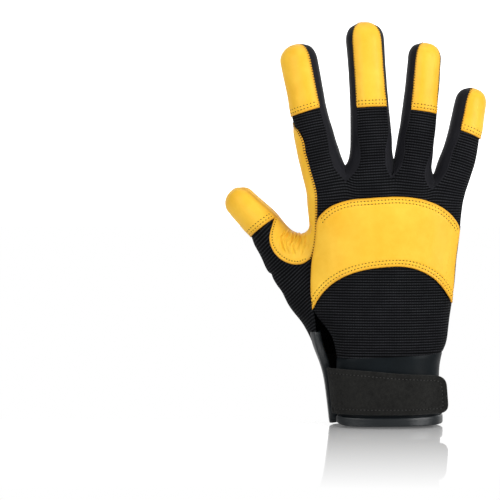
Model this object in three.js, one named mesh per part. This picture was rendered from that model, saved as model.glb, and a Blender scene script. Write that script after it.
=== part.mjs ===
// A right-hand gardening glove, shaped as a hand fills it. Fingers point up (+Z), the knitted back faces
// -Y and the leather palm faces +Y; lengths are millimetres. Every sewn panel is cut from one smooth form
// of the gloved hand, so neighbouring panels meet along shared seams.
import * as THREE from 'three';

// Driving dimensions of the hand form.
const GLOVE_LENGTH = 250;
const PALM_BREADTH = 97;
const PALM_DEPTH = 34;
const WRIST_BREADTH = 69;
const WRIST_DEPTH = 44;
const THUMB_BREADTH = 21.5;
const INDEX_BREADTH = 23.2;
const MIDDLE_BREADTH = 23;
const RING_BREADTH = 20.6;
const LITTLE_BREADTH = 19;

// Driving dimensions of the pieces that are sewn together.
const LEATHER = 1.3;
const KNIT = 1.5;
const SIDE_CLOTH = 1.3;
const CUFF_CLOTH = 2;
const PATCH_LEATHER = 1.4;
const PAD_THICKNESS = 1.1;
const STRAP_THICKNESS = 2.2;
const STRAP_WIDTH = 28;
const STRAP_TAPER = 5.5;
const STRAP_CLEARANCE = 1.3;
const STRAP_CORNER = 5;
const PULL_TAB_WIDTH = 25;
const BINDING_THICKNESS = 1;
const BINDING_LEG = 4.2;
const SEAM_GAP = 0.4;
const OVERLAY_GAP = 0.6;
const MIDDLE_CAP = 39.4;
const INDEX_CAP = 29.5;
const RING_CAP = 31.4;
const LITTLE_CAP = 19;
const THUMB_CAP = 21;

// How finely the form is divided.
const PALM_COLUMNS = 4;
const THUMB_BACK_COLUMNS = 5;
const WALL_COLUMNS = 4;
const ROW_PITCH = 7;

const UP = new THREE.Vector3(0, 0, 1);
const RIGHT = new THREE.Vector3(1, 0, 0);
const PALMWARD = new THREE.Vector3(0, 1, 0);
const DEGREE = Math.PI / 180;

const mix = (a, b, share) => a + (b - a) * share;
const blend = (a, b, share) => a.clone().lerp(b, share);
const unit = (v) => v.clone().normalize();
const moved = (point, direction, distance) => point.clone().addScaledVector(direction, distance);

// A point given by shares of the palm's breadth, the palm's depth and the glove's length.
const handPoint = ({ x, y, z }) => new THREE.Vector3(x * PALM_BREADTH, y * PALM_DEPTH, z * GLOVE_LENGTH);

// The form: trunk, digits, webs and the ball of the thumb.

// Wrist sections, as shares of the glove's length, the wrist's breadth and the wrist's depth.
const WRIST_SECTIONS = [
  { z: -0.06, left: -0.478, right: 0.493, back: -0.5, palm: 0.5 },
  { z: -0.012, left: -0.486, right: 0.497, back: -0.5, palm: 0.5 },
  { z: 0.064, left: -0.517, right: 0.487, back: -0.5, palm: 0.49 },
  { z: 0.116, left: -0.545, right: 0.483, back: -0.49, palm: 0.48 },
  { z: 0.154, left: -0.585, right: 0.492, back: -0.485, palm: 0.47 },
  { z: 0.184, left: -0.61, right: 0.542, back: -0.5, palm: 0.465 },
];

// Palm sections, as shares of the glove's length, the palm's breadth and the palm's depth.
const PALM_SECTIONS = [
  { z: 0.228, left: -0.43, right: 0.4, back: -0.625, palm: 0.57 },
  { z: 0.316, left: -0.445, right: 0.431, back: -0.57, palm: 0.48 },
  { z: 0.4, left: -0.465, right: 0.45, back: -0.54, palm: 0.42 },
  { z: 0.472, left: -0.483, right: 0.472, back: -0.52, palm: 0.4 },
  { z: 0.532, left: -0.49, right: 0.462, back: -0.5, palm: 0.39 },
  { z: 0.572, left: -0.42, right: 0.39, back: -0.4, palm: 0.33 },
];

const inMillimetres = (breadth, depth) => (row) => ({
  z: row.z * GLOVE_LENGTH,
  left: row.left * breadth,
  right: row.right * breadth,
  back: row.back * depth,
  palm: row.palm * depth,
});

const TRUNK_SECTIONS = [
  ...WRIST_SECTIONS.map(inMillimetres(WRIST_BREADTH, WRIST_DEPTH)),
  ...PALM_SECTIONS.map(inMillimetres(PALM_BREADTH, PALM_DEPTH)),
];

const TRUNK_EXPONENT = 2.5;
const TRUNK_END = 0.2 * PALM_DEPTH;
const TRUNK_ARCH = 0.09 * PALM_DEPTH;

// A smooth curve through a table's rows: cubic, with each row's slope taken from its neighbours.
function alongTable(rows, column, z) {
  const last = rows.length - 1;
  if (z <= rows[0].z) return rows[0][column];
  if (z >= rows[last].z) return rows[last][column];
  const i = rows.findIndex((row) => row.z > z) - 1;
  const span = rows[i + 1].z - rows[i].z;
  const t = (z - rows[i].z) / span;
  const slope = (k) => {
    const before = rows[Math.max(k - 1, 0)];
    const after = rows[Math.min(k + 1, last)];
    return ((after[column] - before[column]) / (after.z - before.z)) * span;
  };
  const a = rows[i][column];
  const b = rows[i + 1][column];
  return (
    a * (1 + 2 * t) * (1 - t) ** 2 + slope(i) * t * (1 - t) ** 2 +
    b * t ** 2 * (3 - 2 * t) + slope(i + 1) * t ** 2 * (t - 1)
  );
}

// First-order distance from the rounded oval |u/a|^n + |v/b|^n + |w/c|^n = 1, negative inside.
function ovalDistance([u, v, w], [a, b, c], n) {
  const [x, y, z] = [Math.abs(u / a), Math.abs(v / b), Math.abs(w / c)];
  const norm = (x ** n + y ** n + z ** n) ** (1 / n);
  if (norm < 1e-6) return -Math.min(a, b, c);
  const slope = Math.hypot(x ** (n - 1) / a, y ** (n - 1) / b, z ** (n - 1) / c) * norm ** (1 - n);
  return (norm - 1) / slope;
}

function trunkSection(z) {
  const [left, right] = ['left', 'right'].map((side) => alongTable(TRUNK_SECTIONS, side, z));
  const [back, palm] = ['back', 'palm'].map((side) => alongTable(TRUNK_SECTIONS, side, z));
  return {
    x: (left + right) / 2,
    y: (back + palm) / 2,
    halfBreadth: (right - left) / 2,
    halfDepth: (palm - back) / 2,
  };
}

function trunkDistance(p) {
  const top = TRUNK_SECTIONS[TRUNK_SECTIONS.length - 1].z;
  const section = trunkSection(p.z);
  const across = (p.x - section.x) / section.halfBreadth;
  const archShare = Math.min(Math.max(p.z / top, 0), 1);
  const arch = TRUNK_ARCH * archShare * (across ** 2 - 0.5);
  return ovalDistance(
    [p.x - section.x, p.y - section.y - arch, Math.max(p.z - top, 0)],
    [section.halfBreadth, section.halfDepth, TRUNK_END], TRUNK_EXPONENT,
  );
}

// Digits. Joints run from the knuckle to the centre of the tip: place as shares of the hand, half sizes as
// shares of the digit's breadth. Roll turns the digit's back towards the little finger.
const joint = (x, y, z, breadth, depth) => ({ x, y, z, breadth, depth });
const DIGITS = {
  thumb: {
    breadth: THUMB_BREADTH, cap: THUMB_CAP, roll: -38, roundness: 2.3,
    joints: [
      joint(-0.355, 0.1, 0.24, 0.66, 0.6), joint(-0.637, 0.34, 0.4, 0.62, 0.58),
      joint(-0.767, 0.47, 0.474, 0.535, 0.52), joint(-0.918, 0.54, 0.533, 0.47, 0.44),
    ],
  },
  index: {
    breadth: INDEX_BREADTH, cap: INDEX_CAP, roll: -14, roundness: 2.5,
    joints: [
      joint(-0.36, -0.1, 0.532, 0.53, 0.52), joint(-0.462, -0.03, 0.7, 0.51, 0.48),
      joint(-0.5, 0.03, 0.775, 0.468, 0.45), joint(-0.553, 0.1, 0.879, 0.495, 0.42),
    ],
  },
  middle: {
    breadth: MIDDLE_BREADTH, cap: MIDDLE_CAP, roll: 7, roundness: 2.5,
    joints: [
      joint(-0.076, -0.14, 0.556, 0.54, 0.52), joint(-0.101, -0.06, 0.72, 0.52, 0.48),
      joint(-0.117, 0.01, 0.825, 0.49, 0.45), joint(-0.136, 0.1, 0.933, 0.495, 0.42),
    ],
  },
  ring: {
    breadth: RING_BREADTH, cap: RING_CAP, roll: 17, roundness: 2.5,
    joints: [
      joint(0.124, -0.12, 0.544, 0.54, 0.55), joint(0.194, -0.04, 0.709, 0.52, 0.5),
      joint(0.217, 0.04, 0.78, 0.5, 0.47), joint(0.241, 0.13, 0.888, 0.485, 0.44),
    ],
  },
  little: {
    breadth: LITTLE_BREADTH, cap: LITTLE_CAP, roll: 30, roundness: 2.4,
    joints: [
      joint(0.34, -0.02, 0.512, 0.58, 0.6), joint(0.453, 0.06, 0.644, 0.545, 0.53),
      joint(0.49, 0.12, 0.7, 0.51, 0.49), joint(0.537, 0.2, 0.781, 0.49, 0.45),
    ],
  },
};

// A digit's own directions: along it, out of its little-finger side, and out of its palm side.
for (const digit of Object.values(DIGITS)) {
  digit.points = digit.joints.map(handPoint);
  digit.axis = unit(digit.points[3].clone().sub(digit.points[0]));
  const side = unit(new THREE.Vector3(digit.axis.z, 0, -digit.axis.x));
  const front = unit(digit.axis.clone().cross(side));
  digit.side = side.clone().applyAxisAngle(digit.axis, digit.roll * DEGREE);
  digit.palm = front.clone().applyAxisAngle(digit.axis, digit.roll * DEGREE);
}

function boneDistance(digit, k, p) {
  const [start, end] = [digit.points[k], digit.points[k + 1]];
  const bone = end.clone().sub(start);
  const length = bone.length();
  const along = bone.clone().divideScalar(length);
  const offset = p.clone().sub(start);
  const reach = offset.dot(along);
  const share = Math.min(Math.max(reach / length, 0), 1);
  const half = (size) => mix(digit.joints[k][size], digit.joints[k + 1][size], share) * digit.breadth;
  const side = unit(digit.side.clone().addScaledVector(along, -digit.side.dot(along)));
  const palm = unit(along.clone().cross(side));
  return ovalDistance(
    [offset.dot(side), offset.dot(palm), reach - share * length],
    [half('breadth'), half('depth'), half('breadth')], digit.roundness,
  );
}

const digitDistance = (digit, p) => Math.min(...[0, 1, 2].map((k) => boneDistance(digit, k, p)));

// Soft swellings: the webs between the digits and the ball of the thumb. Half sizes are shares of the
// palm's depth.
const swelling = (x, y, z, breadth, depth, height, soft) => ({ x, y, z, breadth, depth, height, soft });
const SWELLINGS = [
  swelling(-0.25, -0.04, 0.583, 0.2, 0.2, 0.3, 0.13),
  swelling(0.031, -0.06, 0.6, 0.2, 0.2, 0.3, 0.13),
  swelling(0.272, 0.02, 0.555, 0.2, 0.2, 0.26, 0.13),
  swelling(-0.5, 0.16, 0.405, 0.36, 0.26, 0.34, 0.3),
  swelling(-0.27, 0.34, 0.3, 0.55, 0.36, 0.85, 0.34),
];

function swellingDistance(swell, p) {
  const offset = p.clone().sub(handPoint(swell));
  const halves = [swell.breadth, swell.depth, swell.height].map((share) => share * PALM_DEPTH);
  return ovalDistance([offset.x, offset.y, offset.z], halves, 2);
}

function softUnion(a, b, softness) {
  const overlap = Math.max(softness - Math.abs(a - b), 0) / softness;
  return Math.min(a, b) - (overlap ** 2 * softness) / 4;
}

const FINGER_SOFTNESS = 0.12 * PALM_DEPTH;
const THUMB_SOFTNESS = 0.36 * PALM_DEPTH;

// Distance from the outside of the gloved hand, negative inside.
function formDistance(p) {
  let distance = trunkDistance(p);
  for (const [name, digit] of Object.entries(DIGITS)) {
    const softness = name === 'thumb' ? THUMB_SOFTNESS : FINGER_SOFTNESS;
    distance = softUnion(distance, digitDistance(digit, p), softness);
  }
  for (const swell of SWELLINGS) {
    distance = softUnion(distance, swellingDistance(swell, p), swell.soft * PALM_DEPTH);
  }
  return distance;
}

function formNormal(p) {
  const step = 0.4;
  const distanceAt = (direction, distance) => formDistance(moved(p, direction, distance));
  const slope = (direction) => distanceAt(direction, step) - distanceAt(direction, -step);
  return unit(new THREE.Vector3(slope(RIGHT), slope(PALMWARD), slope(UP)));
}

// The place where a straight line from inside the form comes out.
function comesOut(origin, direction) {
  const stride = 1;
  let inside = 0;
  while (formDistance(moved(origin, direction, inside + stride)) < 0) inside += stride;
  let outside = inside + stride;
  for (let i = 0; i < 22; i += 1) {
    const middle = (inside + outside) / 2;
    if (formDistance(moved(origin, direction, middle)) < 0) inside = middle;
    else outside = middle;
  }
  return moved(origin, direction, (inside + outside) / 2);
}

// The nearest place on the form to a point that is already close to it.
function ontoForm(point) {
  let p = point.clone();
  for (let i = 0; i < 12; i += 1) p = moved(p, formNormal(p), -formDistance(p));
  return p;
}

// Seam rows. A station is one end of a row of points across a digit or the hand: an origin inside the
// form, the direction out of the side, the palm direction, and how far the side wall spreads towards the
// palm and the back. Its lag says how late across the row the right station's side takes over from the
// left one's: 1 is evenly.

const station = (settings) => ({
  turn: 90 * DEGREE, axis: UP, tuck: 0, rise: 0, lag: 1, back: settings.palm.clone().negate(), ...settings,
});

function facing(at, isPalm) {
  const turned = at.axis.clone().multiplyScalar(Math.cos(at.turn));
  return turned.addScaledVector(isPalm ? at.palm : at.back, Math.sin(at.turn));
}

const form = { points: [], normals: [], faces: {} };

function formVertex(point, normal) {
  const tolerance = 0.02;
  const found = form.points.findIndex((p) => p.distanceTo(point) < tolerance);
  if (found >= 0) return found;
  form.points.push(point);
  form.normals.push(normal);
  return form.points.length - 1;
}

function rayVertex(origin, direction, tuck = 0) {
  const hit = comesOut(origin, unit(direction));
  const normal = formNormal(hit);
  return formVertex(moved(hit, normal, -tuck), normal);
}

// The points across one face of a digit, from its left station to its right one.
function faceRow(left, right, isPalm, columns) {
  const spread = isPalm ? 'palmSpread' : 'backSpread';
  return Array.from({ length: columns + 1 }, (_, c) => {
    const share = c / columns;
    const fan = mix(180 * DEGREE - left[spread], right[spread], share);
    const face = unit(blend(facing(left, isPalm), facing(right, isPalm), share));
    const [fromLeft, toRight] = [left.across ?? left.out.clone().negate(), right.across ?? right.out];
    const across = blend(fromLeft, toRight, share ** right.lag);
    const direction = across.multiplyScalar(Math.cos(fan)).addScaledVector(face, Math.sin(fan));
    if (!isPalm) direction.addScaledVector(UP, left.rise * (1 - share) ** 4);
    const tuck = isPalm ? 0 : left.tuck * Math.max(1 - 2 * share, 0);
    return rayVertex(blend(left.origin, right.origin, share), direction, tuck);
  });
}

// The points across a side wall, from its back edge to its palm edge.
function wallRow(at) {
  return Array.from({ length: WALL_COLUMNS + 1 }, (_, c) => {
    const angle = mix(-at.backSpread, at.palmSpread, c / WALL_COLUMNS);
    const spread = angle < 0 ? at.backSpread : at.palmSpread;
    const level = Math.sin(at.turn);
    const direction = at.out.clone()
      .multiplyScalar(mix(Math.cos(spread), Math.cos(angle), level))
      .addScaledVector(at.palm, Math.sin(angle) * level)
      .addScaledVector(at.axis, Math.cos(at.turn) * Math.sin(spread));
    return rayVertex(at.origin, direction);
  });
}

// Faces between two rows. Seen from outside, the corners run the same way round when the row runs to the
// right.
function joinRows(panel, upper, lower, runsRight) {
  const faces = (form.faces[panel] ??= []);
  for (let c = 0; c + 1 < upper.length; c += 1) {
    const corners = [upper[c], lower[c], lower[c + 1], upper[c + 1]];
    const ring = corners.filter((corner, i) => corner !== corners[(i + 1) % corners.length]);
    if (new Set(ring).size > 2) faces.push(runsRight ? ring : ring.reverse());
  }
}

// Sides of the digits. Spreads are degrees, towards the back and towards the palm.
const WALL_ANGLE = 38;
const TIP_ANGLE = 72;
const TIP_TURNS = [0, 32, 62, 90];

function axisPoint(digit, fromTip) {
  let left = fromTip;
  for (let k = 2; k >= 0; k -= 1) {
    const length = digit.points[k].distanceTo(digit.points[k + 1]);
    if (left <= length || k === 0) return blend(digit.points[k + 1], digit.points[k], left / length);
    left -= length;
  }
  return digit.points[0];
}

// How a side wall turns into the bottom of a gap: rise and inward are shares of the digit's breadth and of
// the way to the middle of the gap, tilt lifts the outward direction, and spread widens the wall.
const GAP_TURN = [
  { rise: 1.15, inward: 0, tilt: 12, spread: 39 },
  { rise: 0.82, inward: 0.04, tilt: 28, spread: 43 },
  { rise: 0.5, inward: 0.16, tilt: 46, spread: 54 },
  { rise: 0.2, inward: 0.46, tilt: 70, spread: 74 },
];

// The gaps between neighbouring digits: the lowest seam point of the side wall, as shares of the hand.
const GAPS = [
  { left: 'index', right: 'middle', x: -0.262, y: -0.03, z: 0.589 },
  { left: 'middle', right: 'ring', x: 0.027, y: -0.05, z: 0.597 },
  { left: 'ring', right: 'little', x: 0.276, y: 0.02, z: 0.568 },
];

for (const gap of GAPS) {
  const [left, right] = [DIGITS[gap.left], DIGITS[gap.right]];
  gap.up = unit(left.axis.clone().add(right.axis).setY(0));
  gap.bottom = station({
    origin: handPoint(gap), out: gap.up, across: RIGHT, palm: PALMWARD,
    palmSpread: 90 * DEGREE, backSpread: 90 * DEGREE,
  });
}

function tipStation(digit, out, turn, walled) {
  const spread = walled ? mix(TIP_ANGLE, WALL_ANGLE, Math.sin(turn * DEGREE)) : 0;
  return station({
    origin: digit.points[3], axis: digit.axis, palm: digit.palm, out,
    turn: turn * DEGREE, palmSpread: spread * DEGREE, backSpread: spread * DEGREE,
  });
}

function shaftStation(digit, out, fromTip, spreads) {
  return station({
    origin: axisPoint(digit, fromTip), axis: digit.axis, palm: digit.palm, out,
    palmSpread: spreads.palm * DEGREE, backSpread: spreads.back * DEGREE,
  });
}

// A station on a side wall that is turning into a gap.
function gapStation(digit, out, gap, row) {
  const base = gap.bottom.origin;
  const height = base.z + row.rise * digit.breadth;
  const [knuckle, tip] = [digit.points[0], digit.points[3]];
  const onAxis = blend(knuckle, tip, (height - knuckle.z) / (tip.z - knuckle.z));
  const tilt = row.tilt * DEGREE;
  return station({
    origin: blend(onAxis, base.clone().setZ(height), row.inward),
    out: unit(out.clone().multiplyScalar(Math.cos(tilt)).addScaledVector(gap.up, Math.sin(tilt))),
    palm: unit(blend(digit.palm, PALMWARD, row.tilt / 90)),
    palmSpread: row.spread * DEGREE, backSpread: row.spread * DEGREE,
  });
}

const OPEN_SIDE_LAG = 0.4;

const rowFrom = (left, right) => ({ left, right });

// Distances from the tip's centre at which a digit's rows lie: even within the cap, and even from the cap
// to the end.
function rowDistances(cap, end) {
  const capBands = Math.max(2, Math.round(cap / ROW_PITCH));
  const shaftBands = Math.max(2, Math.round((end - cap) / ROW_PITCH));
  return {
    capBands,
    distances: [
      ...Array.from({ length: capBands }, (_, i) => (cap * (i + 1)) / capBands),
      ...Array.from({ length: shaftBands }, (_, i) => mix(cap, end, (i + 1) / shaftBands)),
    ],
  };
}

// The strip of leather down the index finger's side starts this far below the tip's centre, and spreads
// towards the back and the palm, in degrees, by the distance below its top: both lengths are shares of the
// finger's breadth.
const STRIP_TOP = 1.55;
const STRIP_SPREADS = [
  { z: 0, back: 0, palm: 0 },
  { z: 0.19, back: 44, palm: 30 },
  { z: 0.49, back: 58, palm: 40 },
  { z: 0.83, back: 65, palm: 44 },
  { z: 1.5, back: 69, palm: 44 },
];

function stripSpreads(fromTip) {
  const below = fromTip / INDEX_BREADTH - STRIP_TOP;
  return { back: alongTable(STRIP_SPREADS, 'back', below), palm: alongTable(STRIP_SPREADS, 'palm', below) };
}

const NO_WALL = { back: 0, palm: 0 };
const FULL_WALL = { back: WALL_ANGLE, palm: WALL_ANGLE };

// The rows of a finger from its tip to the bottom of its gaps.
function fingerRows(name) {
  const digit = DIGITS[name];
  const gapLeft = GAPS.find((gap) => gap.right === name);
  const gapRight = GAPS.find((gap) => gap.left === name);
  const [outLeft, outRight] = [digit.side.clone().negate(), digit.side];
  const rows = TIP_TURNS.map((turn) => rowFrom(
    tipStation(digit, outLeft, turn, Boolean(gapLeft)), tipStation(digit, outRight, turn, Boolean(gapRight)),
  ));
  const nearGap = gapLeft ?? gapRight;
  const gapTop = nearGap.bottom.origin.z + GAP_TURN[0].rise * digit.breadth;
  const toGap = (digit.points[3].z - gapTop) / digit.axis.z;
  const { capBands, distances } = rowDistances(digit.cap, toGap - ROW_PITCH);
  const leftSpreads = (fromTip) => (name === 'index' ? stripSpreads(fromTip) : FULL_WALL);
  for (const fromTip of distances) {
    rows.push(rowFrom(
      shaftStation(digit, outLeft, fromTip, leftSpreads(fromTip)),
      shaftStation(digit, outRight, fromTip, gapRight ? FULL_WALL : NO_WALL),
    ));
  }
  for (const turnRow of GAP_TURN) {
    const sideRow = (out, gap, spreads) => {
      if (gap) return gapStation(digit, out, gap, turnRow);
      const height = nearGap.bottom.origin.z + turnRow.rise * digit.breadth;
      const fromTip = (digit.points[3].z - height) / digit.axis.z;
      return { ...shaftStation(digit, out, fromTip, spreads(fromTip)), lag: OPEN_SIDE_LAG };
    };
    const right = sideRow(outRight, gapRight, () => NO_WALL);
    rows.push(rowFrom(sideRow(outLeft, gapLeft, leftSpreads), right));
  }
  return { rows, capRows: TIP_TURNS.length - 1 + capBands };
}

// Levels of the rows across the hand below the gaps. Left is the index side and right the little finger's
// side, as shares of the glove's length; the thumb's web lies on the level marked web, and the knit ends
// on the one marked hem.
const LEVELS = [
  { left: 0.588, right: 0.552, gapShare: 0 },
  { left: 0.56, right: 0.531, gapShare: 0.17 },
  { left: 0.53, right: 0.509, gapShare: 0.35 },
  { left: 0.5, right: 0.487, gapShare: 0.52 },
  { left: 0.468, right: 0.458, gapShare: 0.7 },
  { left: 0.436, right: 0.43, gapShare: 0.86 },
  { left: 0.405, right: 0.402, gapShare: 1, mark: 'web' },
  { left: 0.372, right: 0.372, gapShare: 1 },
  { left: 0.34, right: 0.342, gapShare: 1 },
  { left: 0.308, right: 0.312, gapShare: 1 },
  { left: 0.276, right: 0.282, gapShare: 1 },
  { left: 0.248, right: 0.254, gapShare: 1 },
  { left: 0.22, right: 0.225, gapShare: 1, mark: 'vent' },
  { left: 0.186, right: 0.195, gapShare: 1 },
  { left: 0.154, right: 0.167, gapShare: 1, mark: 'hem' },
  { left: 0.12, right: 0.13, gapShare: 1 },
  { left: 0.085, right: 0.093, gapShare: 1 },
  { left: 0.05, right: 0.057, gapShare: 1 },
  { left: 0.0165, right: 0.02, gapShare: 1 },
  { left: -0.0045, right: -0.003, gapShare: 1 },
];
const levelOf = (mark) => LEVELS.findIndex((level) => level.mark === mark);
const WEB_LEVEL = levelOf('web');
const VENT_LEVEL = levelOf('vent');
const HEM_LEVEL = levelOf('hem');

// Where the two outer lines of origins stand, and how far the little finger's side seam turns towards the
// palm, in degrees: by share of the glove's length, as shares of the palm's breadth.
const SIDE_LINES = [
  { z: -0.06, index: -0.2, little: 0.19, littleRoll: 10 },
  { z: 0.16, index: -0.22, little: 0.2, littleRoll: 8 },
  { z: 0.3, index: -0.3, little: 0.24, littleRoll: -4 },
  { z: 0.42, index: -0.34, little: 0.29, littleRoll: -8 },
  { z: 0.5, index: -0.35, little: 0.33, littleRoll: 4 },
  { z: 0.59, index: -0.37, little: 0.38, littleRoll: 22 },
].map((row) => ({ ...row, z: row.z * GLOVE_LENGTH }));

// The three lines below the gaps: where they stand at the wrist, as a share of its breadth, and how far
// they lean towards the thumb on the back there, in degrees.
const WRIST_LINES = [{ x: -0.03, lean: 38 }, { x: 0.08, lean: 14 }, { x: 0.19, lean: -8 }];

const leaned = (degrees) => PALMWARD.clone().negate().applyAxisAngle(UP, -degrees * DEGREE);

function littleSide(level) {
  const z = level.right * GLOVE_LENGTH;
  const roll = alongTable(SIDE_LINES, 'littleRoll', z) * DEGREE;
  return station({
    origin: new THREE.Vector3(alongTable(SIDE_LINES, 'little', z) * PALM_BREADTH, 0, z),
    out: RIGHT.clone().applyAxisAngle(UP, roll), palm: PALMWARD.clone().applyAxisAngle(UP, roll),
    palmSpread: 0, backSpread: 0,
  });
}

function innerLine(level, k) {
  if (level.gapShare === 0) return GAPS[k].bottom;
  const bottom = GAPS[k].bottom.origin;
  const z = mix(level.left, level.right, (k + 1) / 4) * GLOVE_LENGTH;
  const line = WRIST_LINES[k];
  const drop = Math.min((bottom.z - z) / bottom.z, 1);
  const lifted = mix(bottom.z, z, Math.min(level.gapShare * 1.6, 1));
  return station({
    origin: new THREE.Vector3(mix(bottom.x, line.x * WRIST_BREADTH, drop), mix(bottom.y, 0, drop), lifted),
    out: RIGHT, across: RIGHT, palm: PALMWARD, back: leaned(line.lean * drop ** 1.5),
    palmSpread: 90 * DEGREE, backSpread: 90 * DEGREE,
  });
}

// The strip down the index side of the hand, from the gap's level to the thumb's web.
const WEB = { x: -0.47, y: 0.08, z: 0.405, up: unit(DIGITS.index.axis.clone().add(DIGITS.thumb.axis)) };
const TONGUE_LAG = 2.5;
const WEB_BOTTOM = station({
  origin: handPoint(WEB), out: WEB.up, palm: unit(PALMWARD.clone().addScaledVector(WEB.up, -WEB.up.y)),
  palmSpread: 62 * DEGREE, backSpread: 90 * DEGREE, lag: TONGUE_LAG,
});
const INDEX_SIDE = [
  { tilt: 0, back: 68, palm: 44 },
  { tilt: 0, back: 67, palm: 44 },
  { tilt: 0, back: 59, palm: 44 },
  { tilt: 4, back: 51, palm: 44 },
  { tilt: 10, back: 40, palm: 44 },
  { tilt: 26, back: 38, palm: 48 },
];

function indexSide(k) {
  if (k === WEB_LEVEL) return WEB_BOTTOM;
  const row = INDEX_SIDE[k];
  const z = LEVELS[k].left * GLOVE_LENGTH;
  const tilt = row.tilt * DEGREE;
  const out = RIGHT.clone().multiplyScalar(-Math.cos(tilt)).addScaledVector(UP, Math.sin(tilt));
  return station({
    origin: new THREE.Vector3(alongTable(SIDE_LINES, 'index', z) * PALM_BREADTH, -0.02 * PALM_DEPTH, z),
    out: unit(blend(DIGITS.index.side.clone().negate(), out, Math.min(k / 2, 1))),
    palm: unit(blend(DIGITS.index.palm, PALMWARD, Math.min(k / 3, 1))),
    palmSpread: row.palm * DEGREE, backSpread: row.back * DEGREE,
  });
}

// The seam between the thumb's knit and the back, below the web: its line of origins as shares of the
// palm, and how far its back leans towards the thumb, in degrees. From the vent down it is open: the
// palm's edge leans to the side of the wrist, and the back's edge leans less and is tucked under, in
// shares of the wrist's depth.
const THUMB_LINE = [
  { x: -0.45, y: 0.05, palm: 22, back: 22, tuck: 0 },
  { x: -0.43, y: 0.04, palm: 29, back: 29, tuck: 0 },
  { x: -0.392, y: 0.02, palm: 41, back: 41, tuck: 0 },
  { x: -0.342, y: 0, palm: 51, back: 51, tuck: 0 },
  { x: -0.286, y: 0, palm: 60, back: 50, tuck: 0.02 },
  { x: -0.23, y: 0, palm: 70, back: 43, tuck: 0.06 },
  { x: -0.168, y: 0, palm: 76, back: 48, tuck: 0.09 },
  { x: -0.1, y: 0, palm: 80, back: 57, tuck: 0.08 },
  { x: -0.09, y: 0, palm: 80, back: 59, tuck: 0.04 },
  { x: -0.085, y: 0, palm: 80, back: 59, tuck: 0.02 },
  { x: -0.08, y: 0, palm: 80, back: 59, tuck: 0.02 },
  { x: -0.08, y: 0, palm: 80, back: 60, tuck: 0.02 },
  { x: -0.08, y: 0, palm: 80, back: 62, tuck: 0.02 },
];

// How steeply the hem turns up at the back's corner beside the vent.
const HEM_CORNER = 0.07;

function thumbLine(k, edge) {
  const line = THUMB_LINE[k - WEB_LEVEL - 1];
  return station({
    origin: handPoint({ x: line.x, y: line.y, z: LEVELS[k].left }), out: RIGHT, across: RIGHT,
    palm: PALMWARD, back: leaned(line[edge]), palmSpread: 90 * DEGREE, backSpread: 90 * DEGREE,
    tuck: edge === 'back' ? line.tuck * WRIST_DEPTH : 0, rise: k === LEVELS.length - 1 ? HEM_CORNER : 0,
  });
}

// The thumb's outer seam below its knuckle: its line of origins as shares of the palm's breadth and depth,
// the direction it faces, in degrees about the wrist from the thumb's side towards the palm, and how far
// below its level it lies, as a share of the glove's length, so that the rows slant across the thumb's
// root.
const OUTER_SEAM = [
  { x: -0.471, y: 0.275, faces: 53.4, below: 0.06 },
  { x: -0.423, y: 0.251, faces: 55.9, below: 0.052 },
  { x: -0.385, y: 0.229, faces: 57.8, below: 0.041 },
  { x: -0.347, y: 0.201, faces: 59.9, below: 0.031 },
  { x: -0.302, y: 0.169, faces: 61.6, below: 0.022 },
  { x: -0.262, y: 0.14, faces: 63, below: 0.014 },
  { x: -0.223, y: 0.116, faces: 64.2, below: 0.007 },
  { x: -0.172, y: 0.1, faces: 65.1, below: 0.002 },
  { x: -0.12, y: 0.1, faces: 66, below: 0 },
  { x: -0.12, y: 0.1, faces: 66, below: 0 },
  { x: -0.12, y: 0.1, faces: 66, below: 0 },
  { x: -0.12, y: 0.1, faces: 66, below: 0 },
  { x: -0.12, y: 0.1, faces: 66, below: 0 },
  { x: -0.12, y: 0.1, faces: 66, below: 0 },
];

function thumbOuter(k) {
  const row = OUTER_SEAM[k - WEB_LEVEL];
  const out = RIGHT.clone().negate().applyAxisAngle(UP, -row.faces * DEGREE);
  return station({
    origin: handPoint({ x: row.x, y: row.y, z: LEVELS[k].left - row.below }), out,
    palm: unit(PALMWARD.clone().addScaledVector(out, -0.5 * out.y)),
    back: out.clone().applyAxisAngle(UP, 90 * DEGREE),
    palmSpread: 0, backSpread: 0,
  });
}

// How the leather of the web spreads over the thumb, in degrees: by the way down from the cap to the
// knuckle, and then by the way from there to the web's bottom.
const TONGUE = [
  { z: 0, back: 0, palm: 0 },
  { z: 0.14, back: 38, palm: 8 },
  { z: 0.35, back: 52, palm: 12 },
  { z: 0.7, back: 57, palm: 16 },
  { z: 1, back: 60, palm: 18 },
];
const TONGUE_END = [
  { share: 0.34, back: 88, palm: 30 },
  { share: 0.68, back: 106, palm: 44 },
];

function between(a, b, share, settings) {
  return station({
    origin: blend(a.origin, b.origin, share), out: unit(blend(a.out, b.out, share)),
    palm: unit(blend(a.palm, b.palm, share)), back: unit(blend(a.back, b.back, share)), ...settings,
  });
}

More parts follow.
